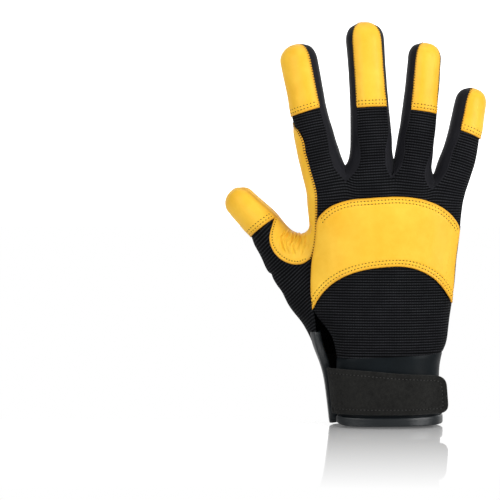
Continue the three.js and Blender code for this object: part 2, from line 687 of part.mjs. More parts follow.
// The rows of the thumb from its tip to the web.
function thumbRows() {
  const digit = DIGITS.thumb;
  const [outLeft, outRight] = [digit.side.clone().negate(), digit.side];
  const rows = TIP_TURNS.map((turn) => rowFrom(
    tipStation(digit, outLeft, turn, false), tipStation(digit, outRight, turn, false),
  ));
  const [, knuckle, middle, tip] = digit.points;
  const toKnuckle = tip.distanceTo(middle) + middle.distanceTo(knuckle);
  const { capBands, distances } = rowDistances(digit.cap, toKnuckle * 0.86);
  for (const fromTip of distances) {
    const share = (fromTip - digit.cap) / (toKnuckle - digit.cap);
    const spreads = { back: alongTable(TONGUE, 'back', share), palm: alongTable(TONGUE, 'palm', share) };
    const lifted = unit(blend(outRight, WEB.up, Math.max(share, 0) ** 2 * 0.5));
    const left = shaftStation(digit, outLeft, fromTip, NO_WALL);
    rows.push(rowFrom(left, shaftStation(digit, lifted, fromTip, spreads)));
  }
  const last = rows[rows.length - 1];
  for (const row of TONGUE_END) {
    rows.push(rowFrom(
      between(last.left, thumbOuter(WEB_LEVEL), row.share, { palmSpread: 0, backSpread: 0 }),
      between(last.right, WEB_BOTTOM, row.share, {
        palmSpread: row.palm * DEGREE, backSpread: row.back * DEGREE, lag: TONGUE_LAG,
      }),
    ));
  }
  rows.push(rowFrom(thumbOuter(WEB_LEVEL), WEB_BOTTOM));
  return { rows, capRows: TIP_TURNS.length - 1 + capBands };
}

// Builds all rows and names the panel of every face.

function buildRow({ left, right }, backColumns) {
  return {
    palm: faceRow(left, right, true, PALM_COLUMNS),
    back: faceRow(left, right, false, backColumns),
    leftWall: wallRow(left),
    rightWall: wallRow(right),
  };
}

const built = {};

function sewDigit(name, rows, panels, backColumns) {
  built[name] = rows.map((row) => buildRow(row, backColumns));
  for (let i = 0; i + 1 < rows.length; i += 1) {
    const [upper, lower] = [built[name][i], built[name][i + 1]];
    joinRows(panels.palm(i), upper.palm, lower.palm, false);
    joinRows(panels.back(i), upper.back, lower.back, true);
    if (panels.leftWall(i)) joinRows(panels.leftWall(i), upper.leftWall, lower.leftWall, false);
    if (panels.rightWall(i)) joinRows(panels.rightWall(i), upper.rightWall, lower.rightWall, true);
  }
}

const FINGER_NAMES = ['index', 'middle', 'ring', 'little'];
const WALL_NAMES = [
  'index_gusset', 'side_wall_index_middle', 'side_wall_middle_ring', 'side_wall_ring_little',
];

FINGER_NAMES.forEach((name, k) => {
  const { rows, capRows } = fingerRows(name);
  const fingerCount = rows.length;
  LEVELS.forEach((level, i) => {
    const lineLeft = () => (i <= WEB_LEVEL ? indexSide(i) : thumbLine(i, 'back'));
    rows.push(rowFrom(
      name === 'index' ? lineLeft() : innerLine(level, k - 1),
      name === 'little' ? littleSide(level) : innerLine(level, k),
    ));
  });
  const hemRow = fingerCount + HEM_LEVEL;
  const webRow = fingerCount + WEB_LEVEL;
  sewDigit(name, rows, {
    palm: (i) => (i < hemRow ? 'palm_leather' : 'cuff_palm'),
    back: (i) => (i < capRows ? `tip_cap_${name}` : i < hemRow ? 'back_knit' : 'cuff_back'),
    leftWall: (i) => (i < (name === 'index' ? webRow : fingerCount) ? WALL_NAMES[k] : null),
    rightWall: (i) => (name !== 'little' && i < fingerCount ? WALL_NAMES[k + 1] : null),
  }, PALM_COLUMNS);
});

const thumb = thumbRows();
const thumbCount = thumb.rows.length;
LEVELS.forEach((level, i) => {
  if (i > WEB_LEVEL) thumb.rows.push(rowFrom(thumbOuter(i), thumbLine(i, 'palm')));
});
const thumbHemRow = thumbCount - 1 + (HEM_LEVEL - WEB_LEVEL);
sewDigit('thumb', thumb.rows, {
  palm: (i) => (i < thumbHemRow ? 'palm_leather' : 'cuff_palm'),
  back: (i) => (i < thumb.capRows ? 'tip_cap_thumb' : i < thumbHemRow ? 'thumb_knit' : 'cuff_palm'),
  leftWall: () => null,
  rightWall: (i) => (i < thumbCount - 1 ? 'index_gusset' : null),
}, THUMB_BACK_COLUMNS);

// Solids. A panel is its patch of the form, drawn back from its seams by half the gap and given its
// thickness.

function boundaryEdges(faces) {
  const edges = new Map();
  for (const ring of faces) {
    ring.forEach((a, i) => {
      const b = ring[(i + 1) % ring.length];
      edges.set(`${a},${b}`, [a, b]);
    });
  }
  return [...edges.values()].filter(([a, b]) => !edges.has(`${b},${a}`));
}

function drawnBack(points, normals, edges) {
  const inward = new Map();
  for (const [a, b] of edges) {
    const along = unit(points[b].clone().sub(points[a]));
    for (const end of [a, b]) {
      const across = unit(normals[end].clone().cross(along));
      inward.set(end, (inward.get(end) ?? []).concat(across));
    }
  }
  const limit = 4;
  const shifted = new Map();
  for (const [vertex, sides] of inward) {
    const sum = unit(sides.reduce((total, side) => total.add(side), new THREE.Vector3()));
    const stretch = Math.min(1 / Math.max(sum.dot(sides[0]), 1 / limit), limit);
    shifted.set(vertex, moved(points[vertex], sum, (stretch * SEAM_GAP) / 2));
  }
  return shifted;
}

function triangles(ring, points) {
  if (ring.length === 3) return [ring];
  const [a, b, c, d] = ring;
  const short = points[a].distanceTo(points[c]) < points[b].distanceTo(points[d]);
  return short ? [[a, b, c], [a, c, d]] : [[a, b, d], [b, c, d]];
}

function closedGeometry(points, index) {
  const geometry = new THREE.BufferGeometry();
  geometry.setAttribute('position', new THREE.Float32BufferAttribute(points.flatMap((p) => p.toArray()), 3));
  geometry.setIndex(index);
  return geometry;
}

// A closed sheet: an outer skin and an inner skin with the same faces, joined around the edge.
function sheetGeometry(faces, outer, inner) {
  const used = [...new Set(faces.flat())];
  const place = new Map(used.map((vertex, i) => [vertex, i]));
  const positions = [...used.map((v) => outer(v)), ...used.map((v) => inner(v))];
  const outerPoints = new Map(used.map((v) => [v, outer(v)]));
  const lookup = new Proxy({}, { get: (_, key) => outerPoints.get(Number(key)) });
  const index = [];
  for (const ring of faces) {
    for (const [a, b, c] of triangles(ring, lookup)) {
      index.push(place.get(a), place.get(b), place.get(c));
      index.push(place.get(c) + used.length, place.get(b) + used.length, place.get(a) + used.length);
    }
  }
  for (const [a, b] of boundaryEdges(faces)) {
    const [i, j] = [place.get(a), place.get(b)];
    const [k, l] = [i + used.length, j + used.length];
    if (a < b) index.push(i, k, j, j, k, l);
    else index.push(i, k, l, i, l, j);
  }
  return closedGeometry(positions, index);
}

function panelGeometry(name, thickness) {
  const faces = form.faces[name];
  const shifted = drawnBack(form.points, form.normals, boundaryEdges(faces));
  const outer = (v) => shifted.get(v) ?? form.points[v];
  return sheetGeometry(faces, outer, (v) => moved(outer(v), form.normals[v], -thickness));
}

// A sheet laid over the form: rows of places, each a point on the form, its normal and how far the sheet
// stands off.
function gridGeometry(grid, thickness) {
  const columns = grid[0].length;
  const places = grid.flat();
  let faces = [];
  for (let i = 0; i + 1 < grid.length; i += 1) {
    for (let j = 0; j + 1 < columns; j += 1) {
      const a = i * columns + j;
      faces.push([a, a + 1, a + columns + 1, a + columns]);
    }
  }
  const [a, b, , d] = faces[0].map((v) => places[v].point);
  const facesOut = b.clone().sub(a).cross(d.clone().sub(a)).dot(places[0].normal) > 0;
  if (!facesOut) faces = faces.map((ring) => [...ring].reverse());
  const at = (v, extra) => moved(places[v].point, places[v].normal, places[v].stand + extra);
  return sheetGeometry(faces, (v) => at(v, thickness), (v) => at(v, 0));
}

function overlayGeometry(rows, columns, placeAt, thickness) {
  const grid = Array.from({ length: rows + 1 }, (_, i) => (
    Array.from({ length: columns + 1 }, (__, j) => placeAt(i / rows, j / columns))
  ));
  return gridGeometry(grid, thickness);
}

// A place on the back of the hand: share of the way across from the seam on the index side to the little
// finger's seam, at a height, found between the rows of the knitted back.
const BACK_ROWS = LEVELS.map((_, i) => FINGER_NAMES.flatMap((name, k) => {
  const row = built[name][built[name].length - LEVELS.length + i].back;
  return (k === 0 ? row : row.slice(1)).map((vertex) => form.points[vertex]);
}));

function backPlace(across, z) {
  const column = across * (BACK_ROWS[0].length - 1);
  const left = Math.min(Math.floor(column), BACK_ROWS[0].length - 2);
  const line = BACK_ROWS.map((row) => blend(row[left], row[left + 1], column - left));
  const below = Math.max(line.findIndex((p) => p.z < z), 1);
  const share = (line[below - 1].z - z) / (line[below - 1].z - line[below].z);
  const point = ontoForm(blend(line[below - 1], line[below], share));
  return { point, normal: formNormal(point) };
}

// The knuckle patch: the heights of its two arched edges across the back, as shares of the glove's length.
const PATCH_EDGES = [
  { z: 0, top: 0.5, bottom: 0.276 },
  { z: 0.04, top: 0.512, bottom: 0.3 },
  { z: 0.12, top: 0.53, bottom: 0.333 },
  { z: 0.28, top: 0.543, bottom: 0.364 },
  { z: 0.5, top: 0.55, bottom: 0.381 },
  { z: 0.7, top: 0.547, bottom: 0.378 },
  { z: 0.86, top: 0.528, bottom: 0.354 },
  { z: 0.95, top: 0.5, bottom: 0.315 },
  { z: 1, top: 0.474, bottom: 0.29 },
];
const PATCH_SPAN = { left: 0.012, right: 0.93 };
const PATCH_ROWS = 7;
const PATCH_COLUMNS = 18;

function patchPlace(down, across) {
  const z = mix(alongTable(PATCH_EDGES, 'top', across), alongTable(PATCH_EDGES, 'bottom', across), down);
  const share = mix(PATCH_SPAN.left, PATCH_SPAN.right, across);
  return { ...backPlace(share, z * GLOVE_LENGTH), stand: OVERLAY_GAP };
}

// A place on the cuff by its angle about the wrist: -90 is the thumb's side, 0 the middle of the back, 90
// the little finger's side and 180 the middle of the palm.
function cuffPlace(angle, z) {
  const section = trunkSection(z);
  const direction = PALMWARD.clone().negate().applyAxisAngle(UP, angle * DEGREE);
  const point = comesOut(new THREE.Vector3(section.x, section.y, z), direction);
  return { point, normal: formNormal(point) };
}

// The wrist strap: from the vent round the back, just above the binding, its end standing clear of the
// cuff. The angles are degrees about the wrist: where it starts, where it leaves the cuff and how far its
// free end bends back.
const STRAP_START_ANGLE = -70;
const STRAP_LIFT_ANGLE = 58;
const STRAP_BEND_ANGLE = 20;
const STRAP_FREE = 9.5;
const STRAP_RISE = 1.2;
const STRAP_ROWS = 5;
const STRAP_COLUMNS = [0, 0.05, 0.12, 0.22, 0.33, 0.44, 0.55, 0.66, 0.77, 0.88, 1];
const STRAP_FREE_COLUMNS = [0.35, 0.65, 0.8, 0.9, 0.96, 1];

function strapSheet() {
  const columns = [
    ...STRAP_COLUMNS.map((share) => ({ share, free: 0 })),
    ...STRAP_FREE_COLUMNS.map((free) => ({ share: 1, free })),
  ];
  const grid = columns.map(({ share, free }) => {
    const way = mix(0, 0.84, share) + 0.16 * free;
    const fromEnd = (1 - free) * STRAP_FREE;
    const corner = share < 1 ? STRAP_CORNER : Math.min(fromEnd, STRAP_CORNER);
    const cut = STRAP_CORNER - Math.sqrt(Math.max(STRAP_CORNER ** 2 - (STRAP_CORNER - corner) ** 2, 0));
    const bottom = BINDING_LEG + STRAP_CLEARANCE + cut;
    const top = BINDING_LEG + STRAP_CLEARANCE + STRAP_WIDTH - STRAP_TAPER * way - cut;
    return Array.from({ length: STRAP_ROWS + 1 }, (_, i) => {
      const z = mix(top, bottom, i / STRAP_ROWS);
      const place = cuffPlace(mix(STRAP_START_ANGLE, STRAP_LIFT_ANGLE, share), z);
      const bend = STRAP_BEND_ANGLE * free * DEGREE;
      const along = unit(UP.clone().cross(place.normal)).applyAxisAngle(UP, -bend);
      return {
        point: moved(place.point, along, free * STRAP_FREE), normal: place.normal,
        stand: OVERLAY_GAP + STRAP_RISE * way,
      };
    });
  });
  return gridGeometry(grid, STRAP_THICKNESS);
}

// The pull tab on the palm side, sewn down at both ends and standing a little clear between them.
const TAB_TOP = 0.147;
const TAB_BOTTOM = 0.018;
const TAB_CLEAR = 1.2;
const TAB_ROWS = 8;
const TAB_COLUMNS = 6;

function tabPlace(down, across) {
  const z = mix(TAB_TOP, TAB_BOTTOM, down) * GLOVE_LENGTH;
  const x = mix(-0.5, 0.5, across) * PULL_TAB_WIDTH;
  const point = comesOut(new THREE.Vector3(x, 0, z), PALMWARD);
  return { point, normal: PALMWARD, stand: OVERLAY_GAP + TAB_CLEAR * Math.sin(Math.PI * down) };
}

// The binding: a channel folded over the cuff's edge, from the top of the vent down its palm edge and
// round the hem. At the corner, points of the hem nearer than the channel's leg are left out, so that its
// leg doesn't cross itself.
const BINDING_FIT = 0.4;
const BINDING_SLACK = 0.7;

function bindingPath() {
  const rowsOf = (name) => built[name].slice(-LEVELS.length);
  const thumbLevels = built.thumb.slice(-(LEVELS.length - 1 - WEB_LEVEL));
  const ventTop = VENT_LEVEL - WEB_LEVEL - 1;
  const palmEdge = thumbLevels.slice(ventTop).map((row) => row.back[THUMB_BACK_COLUMNS]);
  const last = (rows) => rows[rows.length - 1];
  const corner = form.points[last(palmEdge)];
  const thumbHem = [...last(thumbLevels).back].reverse()
    .filter((vertex) => form.points[vertex].distanceTo(corner) > BINDING_LEG);
  const palmHem = [last(thumbLevels).palm, ...FINGER_NAMES.map((name) => last(rowsOf(name)).palm)]
    .flatMap((row) => row.slice(1));
  const backHem = [...FINGER_NAMES].reverse()
    .flatMap((name) => [...last(rowsOf(name)).back].reverse().slice(1));
  return [...palmEdge, ...thumbHem, ...palmHem, ...backHem];
}

// The channel's outline: how far beyond the edge (negative lies on the cuff), and how far out from the
// cuff's face.
function bindingProfile() {
  const [near, far] = [BINDING_FIT, BINDING_FIT + BINDING_THICKNESS];
  const bevel = 0.45 * BINDING_THICKNESS;
  const inside = -CUFF_CLOTH - BINDING_SLACK;
  const half = -BINDING_LEG / 2;
  return [
    [half, near], [-BINDING_LEG, near], [-BINDING_LEG, far], [half, far],
    [far - bevel, far], [far, far - bevel], [far, inside - far + bevel], [far - bevel, inside - far],
    [half, inside - far], [-BINDING_LEG, inside - far], [-BINDING_LEG, inside - near], [half, inside - near],
    [near, inside - near], [near, near],
  ];
}

// Triangles that close the channel's two ends, as places in its outline.
const BINDING_END = [
  [0, 1, 2], [0, 2, 3], [13, 0, 3], [13, 3, 4], [13, 4, 5], [13, 5, 6], [12, 13, 6], [12, 6, 7], [12, 7, 8],
  [11, 12, 8], [10, 11, 8], [10, 8, 9],
];

function bindingGeometry() {
  const path = bindingPath();
  const points = path.map((vertex) => form.points[vertex]);
  const profile = bindingProfile();
  const rings = points.map((point, i) => {
    const normal = form.normals[path[i]];
    const before = i === 0 ? null : unit(point.clone().sub(points[i - 1]));
    const after = i === points.length - 1 ? null : unit(points[i + 1].clone().sub(point));
    const along = unit((before ?? after).clone().add(after ?? before));
    const outward = unit(normal.clone().cross(along));
    const miter = 1 / Math.max(along.dot(after ?? before), 0.7);
    const footAt = (beyond) => {
      const foot = moved(point, outward, beyond * miter);
      if (beyond >= 0) return { foot, lift: normal };
      const onCuff = ontoForm(foot);
      return { foot: onCuff, lift: formNormal(onCuff) };
    };
    return profile.map(([beyond, out]) => {
      const { foot, lift } = footAt(beyond);
      return moved(foot, lift, out);
    });
  });
  const size = profile.length;
  const index = [];
  for (let i = 0; i + 1 < rings.length; i += 1) {
    for (let j = 0; j < size; j += 1) {
      const [a, b] = [i * size + j, i * size + ((j + 1) % size)];
      index.push(a, b + size, b, a, a + size, b + size);
    }
  }
  const end = (rings.length - 1) * size;
  for (const [a, b, c] of BINDING_END) index.push(a, b, c, end + a, end + c, end + b);
  return closedGeometry(rings.flat(), index);
}

// Materials and the finished group.

const finish = (color, roughness) => new THREE.MeshStandardMaterial({ color, roughness, metalness: 0 });
const FINISHES = {
  leather: finish(0xf3bd25, 0.5),
  knit: finish(0x16171b, 0.9),
  side_cloth: finish(0x131318, 0.8),
  cuff_cloth: finish(0x101114, 0.85),
  cuff_band: finish(0x1a2026, 0.6),
  binding: finish(0x1d242b, 0.4),
  strap: finish(0x181917, 0.95),
};

const glove = new THREE.Group();

function addPiece(name, geometry, material) {
  const mesh = new THREE.Mesh(geometry, material);
  mesh.name = name;
  glove.add(mesh);
}

const addPanel = (name, thickness, material) => addPiece(name, panelGeometry(name, thickness), material);

addPanel('palm_leather', LEATHER, FINISHES.leather);
addPanel('index_gusset', LEATHER, FINISHES.leather);
for (const name of ['thumb', ...FINGER_NAMES]) addPanel(`tip_cap_${name}`, LEATHER, FINISHES.leather);
addPanel('back_knit', KNIT, FINISHES.knit);
addPanel('thumb_knit', KNIT, FINISHES.knit);
for (const name of WALL_NAMES.slice(1)) addPanel(name, SIDE_CLOTH, FINISHES.side_cloth);
addPanel('cuff_palm', CUFF_CLOTH, FINISHES.cuff_cloth);
addPanel('cuff_back', CUFF_CLOTH, FINISHES.cuff_band);
addPiece(
  'knuckle_patch', overlayGeometry(PATCH_ROWS, PATCH_COLUMNS, patchPlace, PATCH_LEATHER), FINISHES.leather,
);

addPiece('hem_binding', bindingGeometry(), FINISHES.binding);
addPiece('wrist_strap', strapSheet(), FINISHES.strap);
addPiece('pull_tab', overlayGeometry(TAB_ROWS, TAB_COLUMNS, tabPlace, PAD_THICKNESS), FINISHES.leather);

export default glove;
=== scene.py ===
import math
import bpy
import bmesh
import numpy as np
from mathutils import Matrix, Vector, noise
from mathutils.bvhtree import BVHTree
from mathutils.kdtree import KDTree


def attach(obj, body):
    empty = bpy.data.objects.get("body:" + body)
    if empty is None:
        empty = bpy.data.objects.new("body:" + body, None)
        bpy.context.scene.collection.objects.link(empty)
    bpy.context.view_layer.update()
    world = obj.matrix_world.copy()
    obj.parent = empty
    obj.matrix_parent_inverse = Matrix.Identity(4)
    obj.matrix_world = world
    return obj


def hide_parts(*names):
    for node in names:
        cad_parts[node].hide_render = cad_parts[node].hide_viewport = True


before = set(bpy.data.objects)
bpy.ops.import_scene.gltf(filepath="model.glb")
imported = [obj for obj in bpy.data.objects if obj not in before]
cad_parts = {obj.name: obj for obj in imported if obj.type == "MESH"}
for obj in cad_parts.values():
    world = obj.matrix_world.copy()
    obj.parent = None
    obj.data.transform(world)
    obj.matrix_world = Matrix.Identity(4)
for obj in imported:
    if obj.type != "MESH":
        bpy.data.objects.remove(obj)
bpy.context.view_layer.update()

# The view: a long lens straight at the knitted back from a little above, 1.5 m away, with the glove right
# of the frame's middle.
view = bpy.data.cameras.new("view")
view.lens = 175.3
view.sensor_width = 36
camera = bpy.data.objects.new("view", view)
bpy.context.scene.collection.objects.link(camera)
tilt = math.radians(3.5)
aim = Vector((-0.0838, 0.0, 0.1045))
camera.location = aim + Vector((0, -math.cos(tilt), math.sin(tilt))) * 1.5
camera.rotation_euler = (math.pi / 2 - tilt, 0, 0)
bpy.context.scene.camera = camera

# The studio: a white board under the glove that mirrors it faintly, a bright white wall far behind it and
# three soft lamps. The board glows as white as the wall wherever it doesn't mirror.
BOARD_HEIGHT = -0.0036
WALL_BEHIND = 2.4
LAMPS_AIM = Vector((0, 0, 0.12))

bpy.ops.object.select_all(action="DESELECT")
bpy.ops.mesh.primitive_plane_add(size=6, location=(0, 0, BOARD_HEIGHT))
floor = bpy.context.object
floor.name = "floor"
paint = bpy.data.materials.new("white_board")
paint.use_nodes = True
nodes, links = paint.node_tree.nodes, paint.node_tree.links
board = nodes["Principled BSDF"]
board.inputs["Base Color"].default_value = (0.6, 0.6, 0.6, 1)
board.inputs["Roughness"].default_value = 0.03
board.inputs["IOR"].default_value = 2.6
glow = nodes.new("ShaderNodeEmission")
# The mirror is strongest under the glove, fades out towards the camera and ends just behind the glove's
# middle.
place = nodes.new("ShaderNodeTexCoord")
split = nodes.new("ShaderNodeSeparateXYZ")
span = nodes.new("ShaderNodeMapRange")
span.inputs["From Min"].default_value = -0.25
span.inputs["From Max"].default_value = 0.0625
fade = nodes.new("ShaderNodeValToRGB")
for stop, at, share in zip(fade.color_ramp.elements, (0.0, 0.8), (0.0, 0.95)):
    stop.position, stop.color = at, (share, share, share, 1)
fade.color_ramp.elements.new(0.88).color = (0, 0, 0, 1)
mix = nodes.new("ShaderNodeMixShader")
links.new(place.outputs["Object"], split.inputs[0])
links.new(split.outputs["Y"], span.inputs["Value"])
links.new(span.outputs[0], fade.inputs[0])
links.new(fade.outputs[0], mix.inputs[0])
links.new(glow.outputs[0], mix.inputs[1])
links.new(board.outputs[0], mix.inputs[2])
links.new(mix.outputs[0], nodes["Material Output"].inputs[0])
floor.data.materials.append(paint)

bpy.ops.mesh.primitive_plane_add(size=8, location=(0, WALL_BEHIND, 0), rotation=(math.pi / 2, 0, 0))
wall = bpy.context.object
wall.name = "wall"
wall.visible_diffuse = False
paint = bpy.data.materials.new("white_wall")
paint.use_nodes = True
lit = paint.node_tree.nodes["Principled BSDF"]
lit.inputs["Base Color"].default_value = (0, 0, 0, 1)
lit.inputs["Emission Color"].default_value = (1, 1, 1, 1)
lit.inputs["Emission Strength"].default_value = 1.7
wall.data.materials.append(paint)

# The sky lights the glove dimly from all sides, and is white where the camera sees it.
sky = bpy.data.worlds.new("studio")
sky.use_nodes = True
sky.node_tree.nodes["Background"].inputs["Color"].default_value = (1, 1, 1, 1)
paths = sky.node_tree.nodes.new("ShaderNodeLightPath")
bright = sky.node_tree.nodes.new("ShaderNodeMapRange")
bright.inputs["To Min"].default_value = 0.2
bright.inputs["To Max"].default_value = 1.0
sky.node_tree.links.new(paths.outputs["Is Camera Ray"], bright.inputs["Value"])
sky.node_tree.links.new(bright.outputs[0], sky.node_tree.nodes["Background"].inputs["Strength"])
bpy.context.scene.world = sky
bpy.context.scene.view_settings.view_transform = "Standard"

for name, place, width, power in (
    ("lamp_right", (1.15, -0.95, 0.45), 0.6, 16.0),
    ("lamp_left", (-0.85, -1.15, 0.7), 0.6, 9.0),
    ("lamp_top", (0.1, -0.2, 1.5), 0.8, 7.5),
):
    lamp = bpy.data.lights.new(name, "AREA")
    lamp.size = width
    lamp.energy = power
    stand = bpy.data.objects.new(name, lamp)
    stand.location = place
    stand.rotation_euler = (LAMPS_AIM - Vector(place)).to_track_quat("-Z", "Y").to_euler()
    bpy.context.scene.collection.objects.link(stand)

# Palm leather: one piece of goatskin over the palm, the fronts of the fingers and the thumb. It is cut
# flat, sewn inside out along every edge and turned, so its edges roll in at the seams, and it creases where
# the glove bends.
MM = 0.001
LEATHER_WALL, LEATHER_BACKING = 1.3, 1.2
# A corner of a panel's edge that turns more than this stays sharp.
CORNER = math.radians(58)


def only(piece):
    """Makes a piece the one that the operators act on."""
    bpy.ops.object.select_all(action="DESELECT")
    piece.select_set(True)
    bpy.context.view_layer.objects.active = piece


def modified(piece, kind, **settings):
    """Puts a modifier on a piece and applies it."""
    only(piece)
    extra = piece.modifiers.new(kind.lower(), kind)
    for key, value in settings.items():
        setattr(extra, key, value)
    bpy.ops.object.modifier_apply(modifier=extra.name)


def merged_copy(node):
    """A copy of a node's solid, with its loose triangles merged."""
    piece = bpy.data.objects.new(f"{node}_piece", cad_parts[node].data.copy())
    bpy.context.scene.collection.objects.link(piece)
    piece.data.materials.clear()
    only(piece)
    bpy.ops.mesh.customdata_custom_splitnormals_clear()
    bpy.ops.object.mode_set(mode="EDIT")
    bpy.ops.mesh.select_all(action="SELECT")
    bpy.ops.mesh.remove_doubles(threshold=2e-6)
    bpy.ops.object.mode_set(mode="OBJECT")
    return piece


def outer_face(solid, wall, towards):
    """The faces on a sheet's outer side: those with the other side just behind them, on the larger side."""
    tree = BVHTree.FromBMesh(solid)
    just_inside, deepest, sharp_turn = 1e-5, 0.02, 1.4
    skin = {}
    for face in solid.faces:
        start = face.calc_center_median() - face.normal * just_inside
        _, normal, _, depth = tree.ray_cast(start, -face.normal, deepest)
        if depth is not None and depth < 1.5 * wall * MM and normal.dot(face.normal) < -0.5:
            skin[face] = True
    sides = []
    while skin:
        side = [next(iter(skin))]
        del skin[side[0]]
        for face in side:
            for edge in face.edges:
                for other in edge.link_faces:
                    if other in skin and face.normal.angle(other.normal) < sharp_turn:
                        del skin[other]
                        side.append(other)
        sides.append(side)

    def size(side):
        """A side's area, counted a little higher where it looks towards the way asked for."""
        return sum(
            face.calc_area() * (1 + (0.1 * face.normal.dot(towards) if towards else 0)) for face in side
        )

    def on_skin(edge, face):
        return any(other in best for other in edge.link_faces if other is not face)

    best = set(max(sides, key=size))
    for _ in range(3):
        missed = {
            other for face in best for edge in face.edges for other in edge.link_faces
            if other not in best and sum(on_skin(side, other) for side in other.edges) > 1
        }
        best |= missed
    return best


def cut_panel(node, wall, levels, border=0.0, towards=None, corner=CORNER):
    """A panel's outer face as one smooth sheet of small quads, with a narrow border along its edges where one
    is asked for.
    """
    piece = merged_copy(node)
    solid = bmesh.new()
    solid.from_mesh(piece.data)
    solid.normal_update()
    solid.faces.ensure_lookup_table()
    keep = outer_face(solid, wall, towards)
    bmesh.ops.delete(solid, geom=[face for face in solid.faces if face not in keep], context="FACES")
    solid.to_mesh(piece.data)
    solid.free()
    bpy.ops.object.mode_set(mode="EDIT")
    bpy.ops.mesh.select_all(action="SELECT")
    bpy.ops.mesh.tris_convert_to_quads(face_threshold=math.pi, shape_threshold=math.pi)
    if border:
        bpy.ops.mesh.select_all(action="SELECT")
        bpy.ops.mesh.inset(thickness=border * MM, use_boundary=True, use_even_offset=True)
    bpy.ops.object.mode_set(mode="OBJECT")
    sheet = bmesh.new()
    sheet.from_mesh(piece.data)
    sharp = sheet.verts.layers.float.new("crease_vert")
    for vert in sheet.verts:
        ends = [edge.other_vert(vert) for edge in vert.link_edges if len(edge.link_faces) == 1]
        if len(ends) == 2 and (vert.co - ends[0].co).angle(ends[1].co - vert.co) > corner:
            vert[sharp] = 1
    sheet.to_mesh(piece.data)
    sheet.free()
    modified(piece, "SUBSURF", levels=levels, render_levels=levels, boundary_smooth="PRESERVE_CORNERS")
    return piece


def places(piece):
    """A piece's points in millimetres and their normals, as arrays."""
    points = np.empty(len(piece.data.vertices) * 3)
    normals = np.empty(len(piece.data.vertices) * 3)
    piece.data.vertices.foreach_get("co", points)
    piece.data.vertex_normals.foreach_get("vector", normals)
    return points.reshape(-1, 3) / MM, normals.reshape(-1, 3)


def move_points(piece, points):
    piece.data.vertices.foreach_set("co", (points * MM).ravel())
    piece.data.update()


def gone_along(line):
    """How far along a line each of its points lies."""
    return np.concatenate([[0], np.cumsum(np.linalg.norm(np.diff(line, axis=0), axis=1))])


class Edge:
    """A run of a panel's edge: its points in order, and the way into the panel at each, evened out."""

    def __init__(self, points, inward, closed):
        self.points = np.array(points)
        inward = np.array(inward)
        for _ in range(6):
            softer = (np.roll(inward, 1, 0) + 2 * inward + np.roll(inward, -1, 0)) / 4
            if not closed:
                softer[0], softer[-1] = inward[0], inward[-1]
            inward = softer / np.linalg.norm(softer, axis=1)[:, None]
        self.inward = inward
        self.closed = closed

    def parts(self, wanted):
        """The runs of this edge where wanted is true, apart from the shortest."""
        count = len(self.points)
        if all(wanted):
            return [Edge(self.points, self.inward, self.closed)]
        start = next(i for i in range(count) if not wanted[i]) if self.closed else 0
        runs, run = [], []
        for step in range(count):
            i = (start + step) % count
            if wanted[i]:
                run.append(i)
            elif run:
                runs.append(run)
                run = []
        if run:
            runs.append(run)
        return [Edge(self.points[run], self.inward[run], False) for run in runs if len(run) > 4]


def edges_of(piece):
    """The loops of a sheet's open edge."""
    sheet = bmesh.new()
    sheet.from_mesh(piece.data)
    sheet.normal_update()
    open_edges = {edge: True for edge in sheet.edges if len(edge.link_faces) == 1}
    loops = []
    while open_edges:
        edge = next(iter(open_edges))
        del open_edges[edge]
        line = [edge.verts[0], edge.verts[1]]
        while True:
            onward = next((e for e in line[-1].link_edges if e in open_edges), None)
            if onward is None:
                break
            del open_edges[onward]
            line.append(onward.other_vert(line[-1]))
        closed = line[0] is line[-1]
        if closed:
            line.pop()
        points, inward = [], []
        for i, vert in enumerate(line):
            before, after = i - 1, (i + 1) % len(line)
            if not closed:
                before, after = max(i - 1, 0), min(i + 1, len(line) - 1)
            ahead = (line[after].co - line[before].co).normalized()
            middles = [face.calc_center_median() for face in vert.link_faces]
            way = sum(middles, Vector()) / len(middles) - vert.co
            way -= ahead * way.dot(ahead)
            way -= vert.normal * way.dot(vert.normal)
            points.append([c / MM for c in vert.co])
            inward.append(list(way.normalized()))
        loops.append(Edge(points, inward, closed))
    sheet.free()
    return loops


def sides_of(edge, count):
    """The sides of a panel's edge between its sharpest corners, the longest first."""
    points, step, corner_gap, corner_reach = edge.points, 5, 12, 8
    turning = []
    for i in range(len(points)):
        back, front = points[i] - points[i - step], points[(i + step) % len(points)] - points[i]
        cosine = back @ front / (np.linalg.norm(back) * np.linalg.norm(front))
        turning.append(math.acos(max(-1.0, min(1.0, cosine))))
    corners = []
    for i in sorted(range(len(points)), key=lambda k: -turning[k]):
        alone = all(min((i - c) % len(points), (c - i) % len(points)) > corner_gap for c in corners)
        if len(corners) < count and alone:
            corners.append(i)
    corners.sort()
    sides = []
    for first, last in zip(corners, corners[1:] + [corners[0] + len(points)]):
        run = [i % len(points) for i in range(first, last + 1)]
        ways = edge.inward[run]
        ways[:corner_reach], ways[-corner_reach:] = ways[corner_reach], ways[-corner_reach - 1]
        sides.append(Edge(points[run], ways, False))
    return sorted(sides, key=lambda side: -gone_along(side.points)[-1])


def tree_of(points):
    """A tree that finds the nearest of some points."""
    tree = KDTree(len(points))
    for i, point in enumerate(points):
        tree.insert(point, i)
    tree.balance()
    return tree


def reach(points, lines, far=12.0):
    """Each point's distance to the nearest of several lines, counted as far at most."""
    samples = []
    for line in lines:
        for share in (0, 0.25, 0.5, 0.75):
            samples.append(line[:-1] * (1 - share) + line[1:] * share)
        samples.append(line[-1:])
    tree = tree_of(np.concatenate(samples))
    return np.array([min(tree.find(point)[2], far) for point in points])


def closed_line(edge):
    return np.vstack([edge.points, edge.points[:1]]) if edge.closed else edge.points


